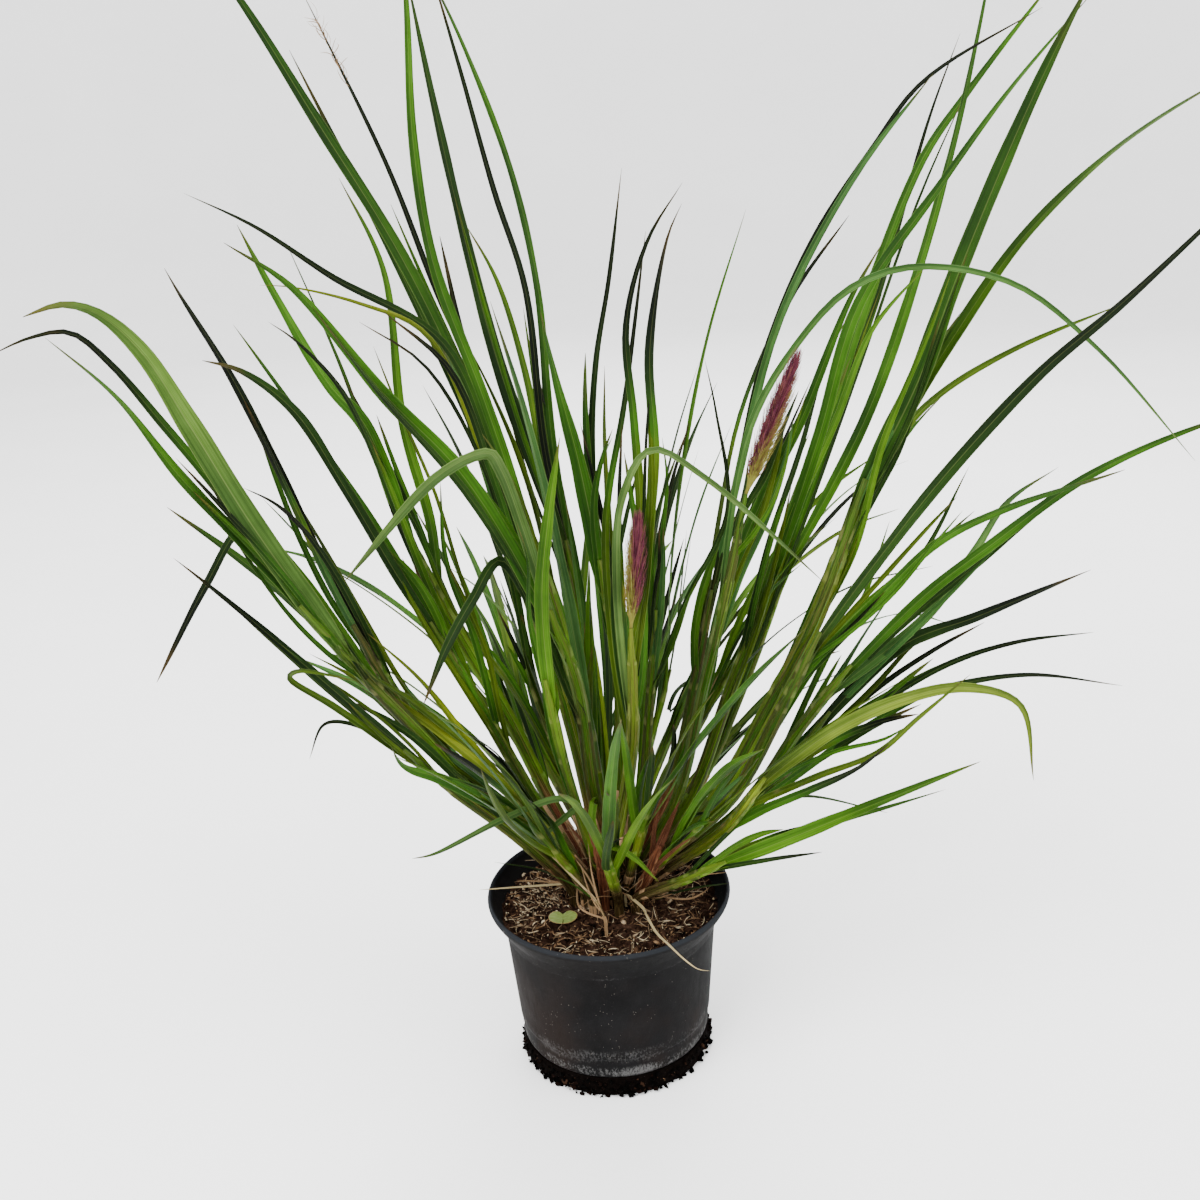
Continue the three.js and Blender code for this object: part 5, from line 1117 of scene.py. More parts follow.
def pot_finish(colour, dust):
    """Black moulded plastic: a dull sheen, pale specks, scuffs on the band and the foot's edge, and
    a brown film of dried earth towards the foot. A painted blue-grey highlight runs along the rim's lip."""
    f = Finish("black_plastic")
    sideways, _, height = f.split(f.object)
    cloud = f.noise(f.object, 28, 4, 0.6)
    scratch = f.noise(f.object, (260, 260, 90), 4, 0.65)
    cells = f.add("TexVoronoi")
    for name, value in (("Vector", f.object), ("Scale", 420)):
        f.put(cells.inputs[name], value)
    specks = f.spread(cells.outputs["Distance"], 0.05, 0.12, 1, 0)
    few = f.spread(f.noise(f.object, 90, 2), 0.54, 0.6)
    tone = f.mix(f.spread(cloud, 0.3, 0.7), colour, tuple(1.8 * c for c in colour))
    left = f.spread(sideways, 0.01, -0.05, 0, 0.25)
    film = f.spread(f.plus(left, f.noise(f.object, 16, 3, 0.6)), 0.5, 0.8, 0, 0.5)
    tone = f.mix(f.times(film, f.spread(height, 0.05, 0.115, 1, 0.2)), tone, (0.013, 0.008, 0.006))
    # Painted highlight: a blue-grey band along the top of the rim's lip.
    tone = f.mix(f.spread(height, 0.1222, 0.124, 0, 0.8), tone, (0.013, 0.0145, 0.017))
    tone = f.mix(f.times(specks, few), tone, dust)
    ragged = f.plus(height, f.times(f.less(scratch, 0.5), 0.006))
    fleck = f.noise(f.object, (800, 800, 420), 4, 0.75)
    worn = f.spread(f.plus(fleck, f.times(f.noise(f.object, 45, 2), 0.6)), 0.76, 0.92)
    # Scuffs: on the band, on the foot's edge and under the rim, each with half its height and its strength
    for level, half, share in ((0.0325, 0.0075, 0.16), (0.0195, 0.0055, 0.36), (0.1005, 0.001, 0.08)):
        away = f.math("ABSOLUTE", f.less(ragged, level))
        scuff = f.times(f.spread(away, half * 0.3, half, 1, 0), worn)
        tone = f.mix(f.times(scuff, share), tone, (0.15, 0.148, 0.145))
    grain = f.noise(f.object, 900, 2)
    roughness = f.spread(f.plus(cloud, f.times(scratch, 0.6)), 0.5, 1.1, 0.5, 0.7)
    return f.done(tone, roughness, f.plus(grain, f.times(scratch, 0.6)), 0.00014, gloss=0.022)


class GRASS_OT_pot(bpy.types.Operator):
    """Turns the round pot with its rolled rim, stepped wall and raised floor, and cuts its drain holes"""

    bl_idname = "potted_grass.pot"
    bl_label = "Nursery Pot"

    def execute(self, context):
        look = context.scene.grass_pot
        under = [(0.01, 0), (18, 0), (21, BASE_LIFT), (47, BASE_LIFT), (50, 0)]
        floor = [(49, WALL), (46, BASE_LIFT + WALL), (0.01, BASE_LIFT + WALL)]
        form = Form()
        turned(form, rounded([*under, *WALL_PROFILE, *LINING_PROFILE, *floor], 1.1), 208)
        pot = form.piece("nursery_pot", pot_finish(tuple(look.colour), tuple(look.dust)), "pot", ["pot"])
        drills = Form()
        for i in range(DRAIN_HOLES):
            a = 2 * math.pi * i / DRAIN_HOLES
            drill = Form()
            turned(drill, np.array([(0.01, -1.0), (DRAIN_RADIUS, -1.0), (DRAIN_RADIUS, 9.0), (0.01, 9.0)]), 32)
            drills.add(drill.corners[0] + polar(DRAIN_CIRCLE, a, 0), drill.faces, drill.places[0], drill.looks[0])
        cutter = drills.piece("drills", pot.data.materials[0], "pot", soft=False)
        cut = pot.modifiers.new("drain_holes", "BOOLEAN")
        cut.object, cut.operation, cut.solver = cutter, "DIFFERENCE", "EXACT"
        with context.temp_override(object=pot, active_object=pot):
            bpy.ops.object.modifier_apply(modifier=cut.name)
        bpy.data.objects.remove(cutter)
        pot.data.shade_smooth()
        return {"FINISHED"}


class GrassPot(bpy.types.PropertyGroup):
    """The pot's plastic"""

    colour: colour_setting("Plastic", "The plastic's own colour", (0.0036, 0.0036, 0.0037))
    dust: colour_setting("Specks", "Pale specks of grit on the wall", (0.16, 0.14, 0.12))


# --- Soil ------------------------------------------------------------------------------------------

def soil_height(x, y):
    """The heap at the crown, 3 exp(-(d/42)^2), with crossed waves for lumps and dips."""
    d = np.hypot(x - CROWN[0], (y - CROWN[1]) / 0.9)
    relief = (0.5 * np.sin(x * 0.21 + 1.3) * np.cos(y * 0.17 - 0.4) + 0.3 * np.sin(x * 0.47 - y * 0.39 + 2.1)
              + 0.2 * np.cos(x * 0.83 + y * 0.71))
    return SOIL_LEVEL - 1.5 + 3 * np.exp(-(d / 42) ** 2) + SOIL_RELIEF * relief


def crumbled(x, y, rng):
    """Fine unevenness: forty waves, each as high as its length to the power 0.8."""
    way, turn = rng.uniform(0, TURN, 40), rng.uniform(0, TURN, 40)
    length = 1.6 * 7 ** rng.random(40)
    waves = np.sin((x[..., None] * np.cos(way) + y[..., None] * np.sin(way)) * TURN / length + turn)
    return (waves * length ** 0.8).sum(axis=-1) * 0.04


def soil_finish(name, dark, light):
    """Potting earth: dark brown bark and fibre, paler grains, rough all over."""
    f = Finish(name)
    _, tint, dry, _ = f.look
    grain = f.noise(f.object, 320, 4, 0.65)
    patch = f.noise(f.object, 60, 3, 0.6)
    tone = f.ramp(f.plus(f.times(grain, 0.6), f.times(patch, 0.4)),
                  [(0.3, tuple(0.25 * c for c in dark)), (0.48, dark), (0.62, light), (0.8, (0.22, 0.16, 0.1))])
    own = f.ramp(tint, [(0.0, (0.0006, 0.0005, 0.0004)), (0.25, (0.007, 0.003, 0.002)), (0.55, (0.042, 0.022, 0.013)),
                        (0.78, (0.19, 0.115, 0.06)), (1.0, (0.44, 0.38, 0.26))])
    own = f.tinted(f.spread(grain, 0.35, 0.7), own, (0.55, 0.5, 0.45))
    tone = f.mix(dry, tone, own)
    return f.done(tone, f.spread(grain, 0.3, 0.7, 0.8, 0.98), f.plus(grain, patch), 0.0006, gloss=0.02)


# The angles of a thread's three sides
THIRDS = np.arange(3) * 2.0944


def small_looks(tints, dry=1.0):
    """The looks of small closed things, by their tints."""
    return together(0.0, tints, dry, 0.0)


def flakes(form, rng, places, sizes, tints, flat=0.4):
    """Bark flakes: six-sided lumps of three rings, whose corners are pushed in or out at random,
    then flattened, turned any way by a unit quaternion and set on their place."""
    n = len(places)
    a = np.arange(6) * math.pi / 3
    base = np.concatenate([polar(r, a + k, z) for k, (r, z) in enumerate(((0.62, -0.5), (1.0, 0.05), (0.6, 0.5)))])
    body = base[None] * (1 + rng.uniform(-0.3, 0.3, (n, 18, 1)))
    squash = np.stack([np.ones(n), rng.uniform(0.35, 0.8, n), rng.uniform(flat * 0.5, flat * 1.4, n)], axis=-1)
    w, x, y, z = unit(rng.normal(0, 1, (n, 4)) * (1, 0.28, 0.28, 1)).T
    spin = np.stack([
        1 - 2 * (y * y + z * z), 2 * (x * y - w * z), 2 * (x * z + w * y),
        2 * (x * y + w * z), 1 - 2 * (x * x + z * z), 2 * (y * z - w * x),
        2 * (x * z - w * y), 2 * (y * z + w * x), 1 - 2 * (x * x + y * y)], axis=-1).reshape(n, 3, 3)
    corners = np.einsum("nij,nkj->nki", spin, body * squash[:, None] * sizes[:, None, None]) + places[:, None]
    caps = np.array([[5, 4, 3, 2], [5, 2, 1, 0], [12, 13, 14, 15], [12, 15, 16, 17]])
    form.copies(corners, small_looks(tints), np.concatenate([bands(6, 3), caps]))


def threads_of(form, line, side, other, radius, looks):
    """Three-sided threads along lines (n, rings, 3), with a radius at each ring, closed at both ends."""
    n, rings = line.shape[:2]
    corners = line[:, :, None] + spokes(side[:, None, None], other[:, None, None], THIRDS) * radius[..., None, None]
    last = 3 * rings - 3
    ends = np.array([[2, 1, 0], [last, last + 1, last + 2]])
    form.copies(corners.reshape(n, 3 * rings, 3), looks, bands(3, rings), ends)


def fibres(form, rng, roots, ways, lengths, thick, tints, sag=0.25):
    """Thin threads of six rings along root + way t + sideways 2 sag t (1 - t), thinner at both ends."""
    n = len(roots)
    t = np.linspace(0, 1, 6)[None, :, None]
    side = unit(np.cross(ways, rng.normal(0, 1, (n, 3))))
    line = roots[:, None] + lengths[:, None, None] * (ways[:, None] * t + side[:, None] * sag * t * (1 - t) * 2)
    radius = np.broadcast_to(np.atleast_1d(thick), n)[:, None] * np.array([0.7, 1, 1, 0.9, 0.7, 0.2])
    threads_of(form, line, side, unit(np.cross(ways, side)), radius, small_looks(tints))


def on_soil(rng, count, edge=77.0):
    """Even random places on the soil's surface."""
    r, a = edge * np.sqrt(rng.random(count)), rng.uniform(0, TURN, count)
    x, y = r * np.cos(a), r * np.sin(a)
    return together(x, y, soil_height(x, y))


class GRASS_OT_soil(bpy.types.Operator):
    """Fills the pot with earth, strews bark, wood fibre and grit on it, and rings the foot with wet earth"""

    bl_idname = "potted_grass.soil"
    bl_label = "Soil and Bark"

    def execute(self, context):
        look = context.scene.grass_soil
        rng = np.random.default_rng(look.seed)
        finish = soil_finish("potting_earth", tuple(look.dark), tuple(look.light))
        self.bed(rng, finish)
        self.crumbs(rng, finish, look.flakes)
        self.threads(rng, finish, look.fibres, look.threads)
        self.foot_ring(rng, finish)
        return {"FINISHED"}

    def bed(self, rng, finish):
        """The earth inside the lining, turned in one piece, with its top raised to the soil's height."""
        bed = Form()
        lining = [(r - 0.5, z) for r, z in reversed(LINING_PROFILE) if z < SOIL_LEVEL - 2]
        floor = BASE_LIFT + WALL + 0.3
        wall = np.array([(0.01, floor), (FOOT_RADIUS - WALL - 2, floor), *lining[1:], (SOIL_EDGE, SOIL_LEVEL - 3)])
        profile = np.concatenate([wall, together(np.linspace(SOIL_EDGE, 0.4, 110), SOIL_LEVEL)])
        turned(bed, profile, 256, (0, 0.3, 0, 0))
        corners = bed.corners[0]
        top = corners[:, 2] > SOIL_LEVEL - 0.5
        x, y = corners[top, 0], corners[top, 1]
        corners[top, 2] = soil_height(x, y) + crumbled(x, y, rng) - 0.2
        bed.piece("earth_bed", finish, "soil", ["soil"])

    def crumbs(self, rng, finish, count):
        """Bark in two sizes, clear of the fallen leaf, and pale grit, most of it at the left."""
        crumbs = Form()
        small, large = int(count * 0.62), int(count * 0.38)
        for n, low, high, power in ((small, 0.5, 1.5, 1.0), (large, 1.1, 3.0, 2.2)):
            sizes = low + (high - low) * rng.random(n) ** power
            places = on_soil(rng, n)
            places[:, 2] += sizes * 0.25
            keep = (apart(places, LEAF_PLACE) > LEAF_RADIUS + 2) & (apart(places) + sizes < SOIL_EDGE + 1.3)
            tints = np.clip(rng.beta(1.5, 2.6, n) * 1.1, 0, 1)
            flakes(crumbs, rng, places[keep], sizes[keep], tints[keep])
        grit = on_soil(rng, 380)
        grit[:230, :2] = np.array([-52, 10]) + rng.normal(0, 10, (230, 2)) * (1, 1.3)
        grit = grit[apart(grit) < 74]
        grit[:, 2] = soil_height(grit[:, 0], grit[:, 1]) + 0.4
        flakes(crumbs, rng, grit, rng.uniform(0.35, 1.05, len(grit)), rng.uniform(0.78, 1, len(grit)), 1.2)
        crumbs.piece("bark_crumbs", finish, "soil", soft=False)

    def threads(self, rng, finish, fibre_count, thread_count):
        """Wood fibres flat on the soil, and dead threads that stand in the crown."""
        threads = Form()
        n = fibre_count
        roots = on_soil(rng, n, 74)
        roots[:, 2] += rng.uniform(0.3, 1.2, n)
        ways = unit(together(rng.normal(0, 1, n), rng.normal(0, 1, n), rng.normal(0.03, 0.12, n)))
        lengths = rng.uniform(3, 13, n)
        keep = (apart(roots + ways * lengths[:, None]) < 76) & (apart(roots, LEAF_PLACE) > LEAF_RADIUS + 3)
        fibres(threads, rng, roots[keep], ways[keep], lengths[keep], rng.uniform(0.12, 0.5, n)[keep],
               rng.beta(2.4, 1.2, n)[keep])
        threads.piece("wood_fibres", finish, "soil")

        threads = Form()
        n = thread_count
        turn, out = rng.uniform(0, TURN, n), rng.uniform(8, 42, n)
        roots = polar(out, turn, SOIL_LEVEL + rng.uniform(-1, 34, n)) + (*CROWN, 0)
        ways = unit(together(
            np.cos(turn) + rng.normal(0, 0.7, n), np.sin(turn) + rng.normal(0, 0.7, n), rng.normal(0.8, 0.7, n)))
        fibres(threads, rng, roots, ways, rng.uniform(8, 42, n), rng.uniform(0.14, 0.42, n),
               rng.uniform(0.6, 0.95, n), 0.35)
        threads.piece("crown_threads", finish, "dry_grass")

    def foot_ring(self, rng, finish):
        """Wet earth round the foot: a ragged ring whose reach is a sum of waves round the pot, with
        crumbs and root ends on it."""
        ring = Form()
        a = np.linspace(0, 2 * math.pi, 360, endpoint=False)
        rag, lower = (
            np.clip(0.4 + 0.3 * sum(np.sin(a * k + rng.uniform(0, 6.3)) * (1.2 / k ** 0.5) for k in waves), 0, 1.2)
            for waves in 2 * [(3, 7, 11, 17, 29, 43, 61)])
        rows = np.linspace(0, 7, 22)[:, None]

        def row(*values):
            return np.interp(rows, np.arange(8), values)

        fine = (0.22 * np.sin(a * 53 + rows * 3.1) + 0.16 * np.sin(a * 97 - rows * 5.3)
                + 0.2 * np.sin(a * 31 + rows * 7))
        swell = row(0, 0.1, 0.9, 1.6, 1.7, 1.1, 0.4, 0) * rag + row(0, 0, 0, 0.3, 1.0, 1.8, 1.5, 0) * lower
        radius = (FOOT_RADIUS + row(0.3, 1.9, 2.3, 2.4, 2.2, 1.6, 0.8, 0.1) + swell
                  + fine * row(0, 0.5, 1, 1, 1, 1, 0.6, 0))
        # Lower at the sides and the back than in front
        low = 0.84 - 0.16 * np.sin(a)
        height = (row(15.6, 15.4, 13.2, 9.6, 5.8, 2.6, 0.3, 0.1) - 1.2 * lower * (rows < 2.5)) * low
        corners = polar(radius, a, height).reshape(-1, 3)
        # The last row of faces joins the first, so the ring's section is closed too
        faces = bands(len(a), len(rows) + 1)[:, ::-1] % len(corners)
        ring.add(corners, [faces], (0.0, 0.0), (0, 0.04, 1.0, 0))
        n = 1050
        turn = rng.uniform(0, TURN, n)
        sizes = 0.4 + 2.4 * rng.random(n) ** 2.4
        out = FOOT_RADIUS + 2.4 + 2.3 * rng.random(n) ** 1.5
        places = polar(out, turn, rng.uniform(0.6, 13.4, n) * (0.84 - 0.16 * np.sin(turn)))
        flakes(ring, rng, places, sizes, 0.5 * rng.random(n) ** 7, 1.0)
        n = 60
        turn = rng.uniform(0, TURN, n)
        roots = polar(66, turn, rng.uniform(3, 12, n))
        ways = unit(together(
            np.cos(turn + rng.normal(0, 1, n)), np.sin(turn + rng.normal(0, 1, n)), rng.normal(-0.1, 0.3, n)))
        fibres(ring, rng, roots, ways, rng.uniform(1.5, 4, n), 0.25, rng.uniform(0.2, 0.7, n))
        for corners in ring.corners:
            corners[:, 2] = np.maximum(corners[:, 2], 0)
        ring.piece("foot_earth", finish, "soil", ["clinging_soil"])


class GrassSoil(bpy.types.PropertyGroup):
    """The earth in the pot and what is strewn on it"""

    flakes: bpy.props.IntProperty(
        name="Bark flakes", description="Flakes and crumbs on the soil", default=1800, min=0)
    fibres: bpy.props.IntProperty(name="Wood fibres", description="Threads on the soil", default=1300, min=0)
    threads: bpy.props.IntProperty(name="Crown threads", description="Dead threads in the crown", default=110, min=0)
    dark: colour_setting("Dark earth", "Wet bark and peat", (0.008, 0.0035, 0.002))
    light: colour_setting("Light earth", "Dry bark", (0.036, 0.018, 0.011))
    seed: bpy.props.IntProperty(name="Seed", description="Changes where the crumbs lie", default=7)


# --- Flower heads and the fallen leaf ----------------------------------------------------------------

def bristle_finish(dark, red, pale):
    """Soft bristles, purple-red to yellow-green, paler at their ends."""
    f = Finish("bristles")
    _, tint, _, share = f.look
    tone = f.ramp(tint, [
        (0.0, dark), (0.3, red), (0.5, (0.11, 0.045, 0.02)), (0.72, pale), (0.88, (0.2, 0.19, 0.035)),
        (1.0, (0.36, 0.33, 0.12))])
    pink = f.times(f.spread(share, 0.3, 1, 0, 0.55), f.spread(tint, 0.4, 0.65, 1, 0.25))
    tone = f.mix(pink, tone, f.tinted(1.0, tone, (3.2, 3.4, 4.2)))
    tone = f.tinted(f.spread(f.noise(f.object, 200, 3), 0.35, 0.65, 0, 0.5), tone, (0.6, 0.5, 0.5))
    return f.done(tone, f.spread(f.noise(f.object, 500, 2), 0.3, 0.7, 0.5, 0.75), gloss=0.1)


def head_form(shoot, count, reach, rng):
    """A flower head: a core turned about the line from the stem's end to the head's tip, small
    grains on it, and bristles that leave it steeply and bend towards its tip.

    A bristle at the share h of the core starts at the angle of its number times the golden angle.
    Its line is root + L (t out sin(lean (1 - t/2)) + t axis cos(lean (1 - t/2)))."""
    pixel, near, radius = HEADS[shoot["name"]]
    end = shoot["points"][-1]
    tip = placed([pixel], [near])[0]
    axis = unit(tip - end)
    side = unit(np.cross(axis, FORWARD))
    away = np.cross(axis, side)
    start = end + axis * 0.3
    length = np.linalg.norm(tip - start) - 8
    form = Form()
    h = np.linspace(0, 1, 22)
    fat = radius * np.interp(h, [0, 0.06, 0.14, 0.4, 0.75, 1], [0.3, 0.36, 0.8, 0.85, 0.65, 0.12])
    line = start + axis * length * h[:, None]
    radial = spokes(side, away, np.linspace(0, 2 * math.pi, 12, endpoint=False))
    green_below = blend(0.72, 0.2, smooth((h - 0.3) / 0.3))
    form.tube(line[:, None] + radial[None] * fat[:, None, None], (0.0, 0.0), small_looks(green_below, 0.0)[:, None])

    h = 0.1 + 0.9 * (np.arange(count) + 0.5) / count
    around = np.arange(count) * GOLDEN_ANGLE + rng.normal(0, 0.3, count)
    out = spokes(side, away, around)
    fat = radius * np.interp(h, [0.1, 0.2, 0.4, 0.75, 1], [0.5, 0.75, 0.8, 0.6, 0.1])
    root = start + axis * (length * h)[:, None] + out * (fat * rng.uniform(0.3, 0.9, count))[:, None]
    long = reach * rng.uniform(0.55, 1.05, count) * np.interp(h, [0.1, 0.3, 0.85, 1], [0.8, 1, 0.95, 0.75])
    lean = np.radians(np.interp(h, [0.1, 0.6, 1], [30, 31, 15]) * rng.uniform(0.45, 1.35, count))
    t = np.linspace(0, 1, 5)[None, :, None]
    bend = lean[:, None, None] * (1 - 0.45 * t)
    line = root[:, None] + long[:, None, None] * t * (out[:, None] * np.sin(bend) + axis * np.cos(bend))
    # Yellow-green at the base, further up on one side, and purple-red above
    aside = out @ RIGHTWARD * (1 if shoot["name"].endswith("right") else -1)
    edge = smooth((0.45 + 0.5 * aside - h + rng.normal(0, 0.08, count)) / 0.22)
    tufts = 0.16 * np.sin(around * 3 + h * 19) * np.sin(around * 2 - h * 31)
    tint = blend(rng.normal(0.24, 0.12, count), rng.normal(0.72, 0.11, count), edge) + tufts
    looks = together(0.0, np.clip(tint, 0, 1)[:, None], 0.0, np.repeat(np.linspace(0, 1, 5), 3))
    across = unit(np.cross(out, axis))
    threads_of(form, line, across, np.cross(across, axis), np.array([[0.17, 0.16, 0.13, 0.09, 0.03]]), looks)

    n = 90
    h = 0.12 + 0.82 * (np.arange(n) + 0.5) / n
    out = spokes(side, away, np.arange(n) * GOLDEN_ANGLE)
    fat = radius * np.interp(h, [0.1, 0.2, 0.4, 0.75, 1], [0.5, 0.9, 0.95, 0.75, 0.2])
    spot = start + axis * (length * h)[:, None] + out * fat[:, None]
    way = unit(axis + out * 0.45)
    across = unit(np.cross(way, out))
    along, wide = np.array([(-1.6, 0.15), (-0.8, 0.55), (0.4, 0.62), (1.4, 0.4), (2.2, 0.06)]).T[..., None, None]
    rings = spokes(across[:, None, None], np.cross(way, across)[:, None, None], np.arange(6) * math.pi / 3)
    corners = (spot[:, None, None] + way[:, None, None] * along + rings * wide).reshape(n, 30, 3)
    caps = np.array([[3, 2, 1, 0], [5, 4, 3, 0], [24, 25, 26, 27], [24, 27, 28, 29]])
    looks = small_looks(blend(0.75, 0.2, smooth((h - 0.3) / 0.3)), 0.0)
    form.copies(corners, looks, np.concatenate([bands(6, 5), caps]))
    return form


class GRASS_OT_heads(bpy.types.Operator):
    """Builds the two flower heads, each with its core, grains and a brush of fine bristles"""

    bl_idname = "potted_grass.heads"
    bl_label = "Flower Heads"

    def execute(self, context):
        look = context.scene.grass_heads
        finish = bristle_finish(tuple(look.dark), tuple(look.red), tuple(look.pale))
        for i, shoot in enumerate(all_shoots()):
            if shoot["name"] not in HEADS:
                continue
            rng = np.random.default_rng(look.seed + i)
            form = head_form(fitted(shoot), look.bristles, look.reach * 1000, rng)
            name = shoot["name"].replace("shoot", "head")
            form.piece(name.replace("head_redhead", "bristle_head"), finish, "flower_head", [name])
        return {"FINISHED"}


class GrassHeads(bpy.types.PropertyGroup):
    """The flower heads' bristles"""

    bristles: bpy.props.IntProperty(name="Bristles", description="Bristles on each head", default=2000, min=1)
    reach: bpy.props.FloatProperty(
        name="Bristle length", description="Length of the longest bristles", default=0.0165, unit="LENGTH")
    dark: colour_setting("Dark", "The darkest bristles", (0.016, 0.003, 0.006))
    red: colour_setting("Red", "Most of the bristles", (0.085, 0.017, 0.026))
    pale: colour_setting("Pale", "Yellow-green bristles", (0.125, 0.12, 0.018))
    seed: bpy.props.IntProperty(name="Seed", description="Changes the bristles' lie", default=3)


def fallen_finish(green, vein):
    """A pale yellow-green leaf with fanned veins and a brown edge."""
    f = Finish("fallen_leaf")
    around, out, _ = f.split(f.along)
    ray = f.math("SINE", f.times(around, 6.2832 * 11))
    vein_line = f.times(f.spread(ray, 0.9, 1.0), f.spread(out, 0.05, 0.3))
    spots = f.noise(f.object, 260, 4)
    tone = f.mix(f.spread(spots, 0.35, 0.7), green, tuple(0.72 * c for c in green))
    tone = f.mix(f.times(vein_line, 0.55), tone, vein)
    rim = f.spread(f.plus(out, f.times(spots, 0.12)), 0.97, 1.06)
    tone = f.mix(rim, tone, (0.2, 0.12, 0.04))
    return f.done(tone, f.spread(spots, 0.3, 0.7, 0.42, 0.6), f.plus(vein_line, spots), 0.0002)


class GRASS_OT_fallen_leaf(bpy.types.Operator):
    """Lays the round fallen leaf with its notch and veins on the soil"""

    bl_idname = "potted_grass.fallen_leaf"
    bl_label = "Fallen Leaf"

    def execute(self, context):
        """The rim is an oval less a notch, 0.5 exp(-(90 degrees - a)^2 / 0.1), and the leaf is dished
        by 0.012 r^2 with slow waves round it. A point's place on the pattern is its angle and
        share of the way to the rim."""
        look = context.scene.grass_fallen_leaf
        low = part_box("fallen_leaf")[0].z * 1000
        sides = 120
        a = np.linspace(0, 2 * math.pi, sides, endpoint=False)
        gap = (a - math.pi / 2 + math.pi) % (2 * math.pi) - math.pi
        notch = 1 - 0.5 * np.exp(-gap ** 2 / 0.1)
        share = np.concatenate([np.linspace(0.02, 1, 22), np.linspace(1, 0.02, 22)])[:, None]
        x, y = LEAF_RADIUS * notch * np.cos(a) * share, LEAF_RADIUS * 0.86 * notch * np.sin(a) * share
        top = np.concatenate([np.ones(22), np.zeros(22)])[:, None]
        wave = 0.35 * np.sin(3 * a + 1) * share ** 2 + 0.12 * np.sin(22 * a) * share
        z = low + 0.1 + 0.012 * (x ** 2 + y ** 2) + wave * 0.5 + 0.2 + top * 0.45 * (1 - 0.5 * share ** 4)
        form = Form()
        rings = together(x + LEAF_PLACE[0], y + LEAF_PLACE[1], z)
        form.tube(rings, together(a / (2 * math.pi), share), (0.0, 0.0, 0.0, 0.0))
        form.piece("round_leaf", fallen_finish(tuple(look.green), tuple(look.vein)), "fallen_leaf", ["fallen_leaf"])
        return {"FINISHED"}


class GrassFallenLeaf(bpy.types.PropertyGroup):
    """The fallen leaf's colours"""

    green: colour_setting("Leaf", "The leaf's green", (0.115, 0.165, 0.025))
    vein: colour_setting("Veins", "The veins' colour", (0.21, 0.25, 0.075))


class GRASS_OT_stage(bpy.types.Operator):
    """Lays the pale floor, hangs the soft lights and stands the camera where the photograph was taken"""

    bl_idname = "potted_grass.stage"
    bl_label = "Floor, Lights and Camera"

    def execute(self, context):
        look = context.scene.grass_stage
        f = Finish("floor")
        colour = f.mix(f.spread(f.noise(f.object, 3, 3), 0.3, 0.7), look.floor, tuple(0.97 * c for c in look.floor))
        finish = f.done(colour, 0.9, f.noise(f.object, 220, 2), 0.00004)
        # Flat out to 3 m, then swept up: r = 3 + 1.4 sin b, z = 1.4 (1 - cos b)
        mesh = bpy.data.meshes.new("floor")
        a, b = np.linspace(0, 2 * math.pi, 96, endpoint=False), np.linspace(0, 1.5, 14)
        r = np.concatenate([[0.6, 1.8], 3 + 1.4 * np.sin(b)])[:, None]
        z = np.concatenate([[0.0, 0.0], 1.4 * (1 - np.cos(b))])[:, None]
        places = polar(r, a, z).reshape(-1, 3)
        faces = bands(len(a), len(r))[:, ::-1]
        mesh.from_pydata(places.tolist(), [], [list(range(len(a))), *faces.tolist()])
        mesh.materials.append(finish)
        mesh.shade_smooth()
        floor = shown("floor", mesh)

        world = bpy.data.worlds.new("soft_sky")
        world.use_nodes = True
        white, strength = world.node_tree.nodes["Background"].inputs[:2]
        white.default_value, strength.default_value = (1.0, 1.0, 1.0, 1), look.sky
        context.scene.world = world
        for name, place, size, power in (
            ("key", (-1.1, -1.3, 2.2), 1.6, look.key), ("fill", (1.7, -0.8, 1.3), 1.8, look.key * 0.35),
            ("back", (0.4, 1.8, 1.9), 1.6, look.key * 0.5),
        ):
            light = bpy.data.lights.new(name, "AREA")
            light.size, light.energy = size, power
            shown(name, light).matrix_world = facing_matrix(place, np.array([0, 0, 0.35]) - place)

        camera = bpy.data.cameras.new("camera")
        camera.lens, camera.sensor_width = 36 * FOCAL_PIXELS / (2 * FRAME_CENTRE), 36
        camera.clip_start, camera.clip_end = 0.05, 30
        eye = shown("camera", camera)
        eye.matrix_world = axes_matrix(EYE / 1000, RIGHTWARD, UPWARD, -FORWARD)
        context.scene.camera = eye
        return {"FINISHED"}


def axes_matrix(place, x, y, z):
    """A placing from three directions and a place, as the columns of a matrix."""
    return Matrix([(x[i], y[i], z[i], place[i]) for i in range(3)] + [(0, 0, 0, 1)])


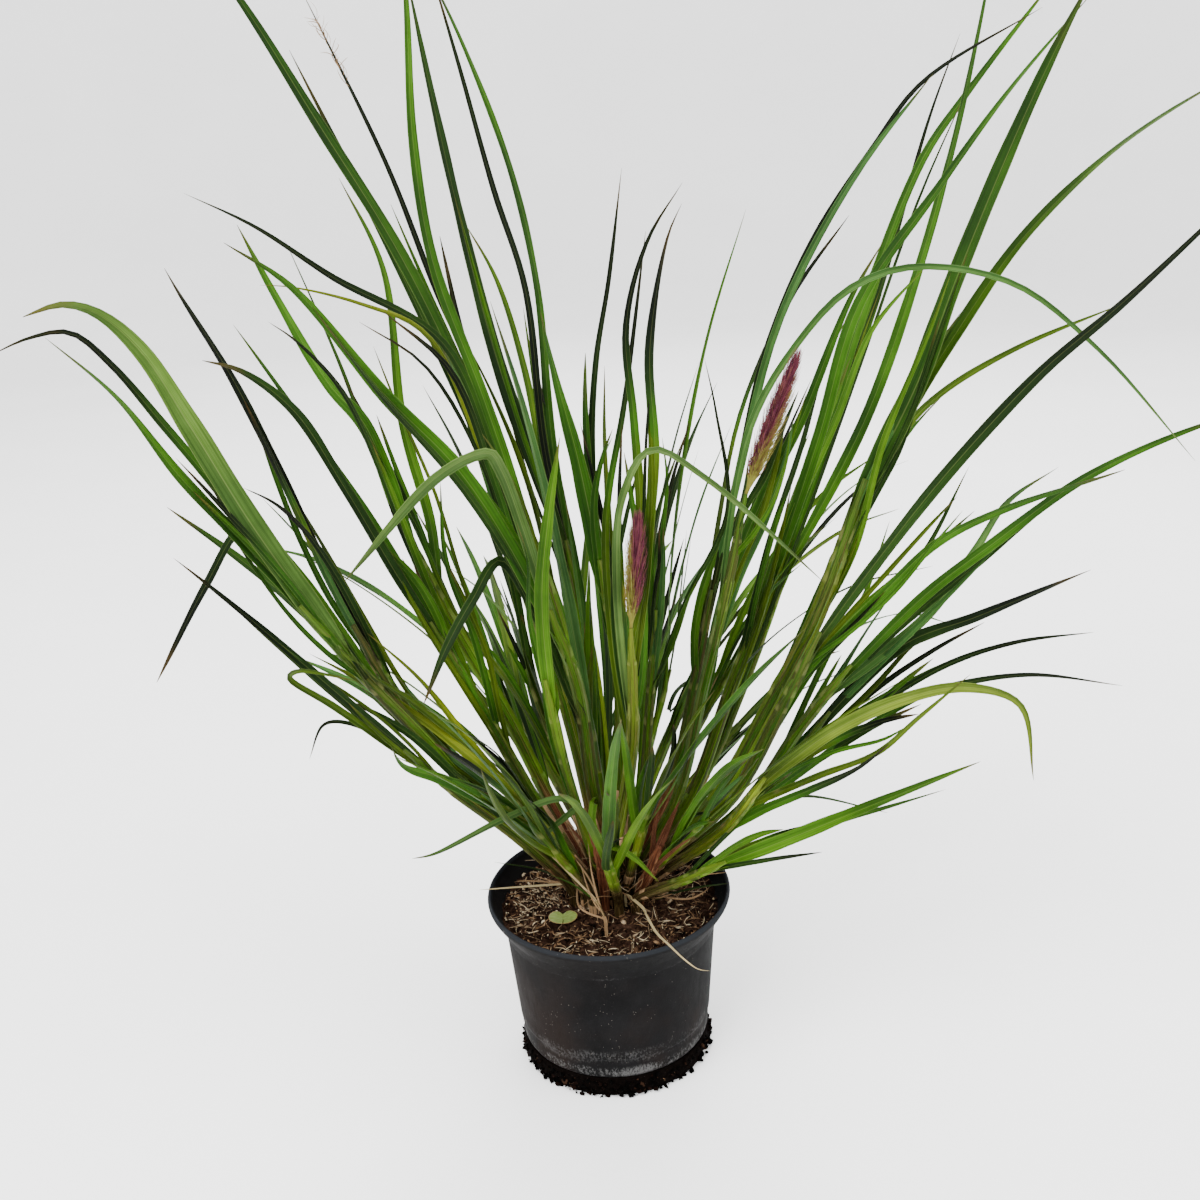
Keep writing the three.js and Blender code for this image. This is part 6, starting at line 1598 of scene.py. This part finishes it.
def facing_matrix(place, aim):
    """A placing whose -Z looks along aim."""
    z = -unit(aim)
    x = unit(np.cross((0, 0, 1), z))
    return axes_matrix(place, x, np.cross(z, x), z)


class GrassStage(bpy.types.PropertyGroup):
    """The floor and lights round the plant"""

    floor: colour_setting("Floor", "The pale floor's colour", (0.94, 0.94, 0.94))
    sky: bpy.props.FloatProperty(
        name="Sky", description="How strong the even light from all sides is", default=1.85, min=0)
    key: bpy.props.FloatProperty(
        name="Key light", description="Power of the main soft light", default=135, min=0, unit="POWER")


class GRASS_PT_panel(bpy.types.Panel):
    """Lists the pieces of the potted grass"""

    bl_label = "Potted Grass"
    bl_idname = "GRASS_PT_panel"
    bl_space_type = "VIEW_3D"
    bl_region_type = "UI"
    bl_category = "Grass"

    def draw(self, context):
        for name, _, operator in PIECES:
            box, settings = self.layout.box(), getattr(context.scene, name)
            for prop in settings.bl_rna.properties:
                if prop.identifier not in ("rna_type", "name"):
                    box.prop(settings, prop.identifier)
            box.operator(operator.bl_idname)


# Each piece's settings in the scene, their class, and the operator that reads them
PIECES = [
    ("grass_pot", GrassPot, GRASS_OT_pot), ("grass_soil", GrassSoil, GRASS_OT_soil),
    ("grass_fallen_leaf", GrassFallenLeaf, GRASS_OT_fallen_leaf),
    ("grass_blades", GrassBlades, GRASS_OT_shoots), ("grass_heads", GrassHeads, GRASS_OT_heads),
    ("grass_stage", GrassStage, GRASS_OT_stage)]
CLASSES = [*(item for _, *pair in PIECES for item in pair), GRASS_PT_panel]


def register():
    for item in CLASSES:
        bpy.utils.register_class(item)
    for name, group, _ in PIECES:
        setattr(bpy.types.Scene, name, bpy.props.PointerProperty(type=group))


def unregister():
    for name, _, _ in PIECES:
        delattr(bpy.types.Scene, name)
    for item in reversed(CLASSES):
        bpy.utils.unregister_class(item)


def main():
    """Builds every piece in order."""
    register()
    bpy.ops.potted_grass.pot()
    bpy.ops.potted_grass.soil()
    bpy.ops.potted_grass.fallen_leaf()
    bpy.ops.potted_grass.shoots()
    bpy.ops.potted_grass.heads()
    bpy.ops.potted_grass.stage()


if __name__ == "__main__":
    main()
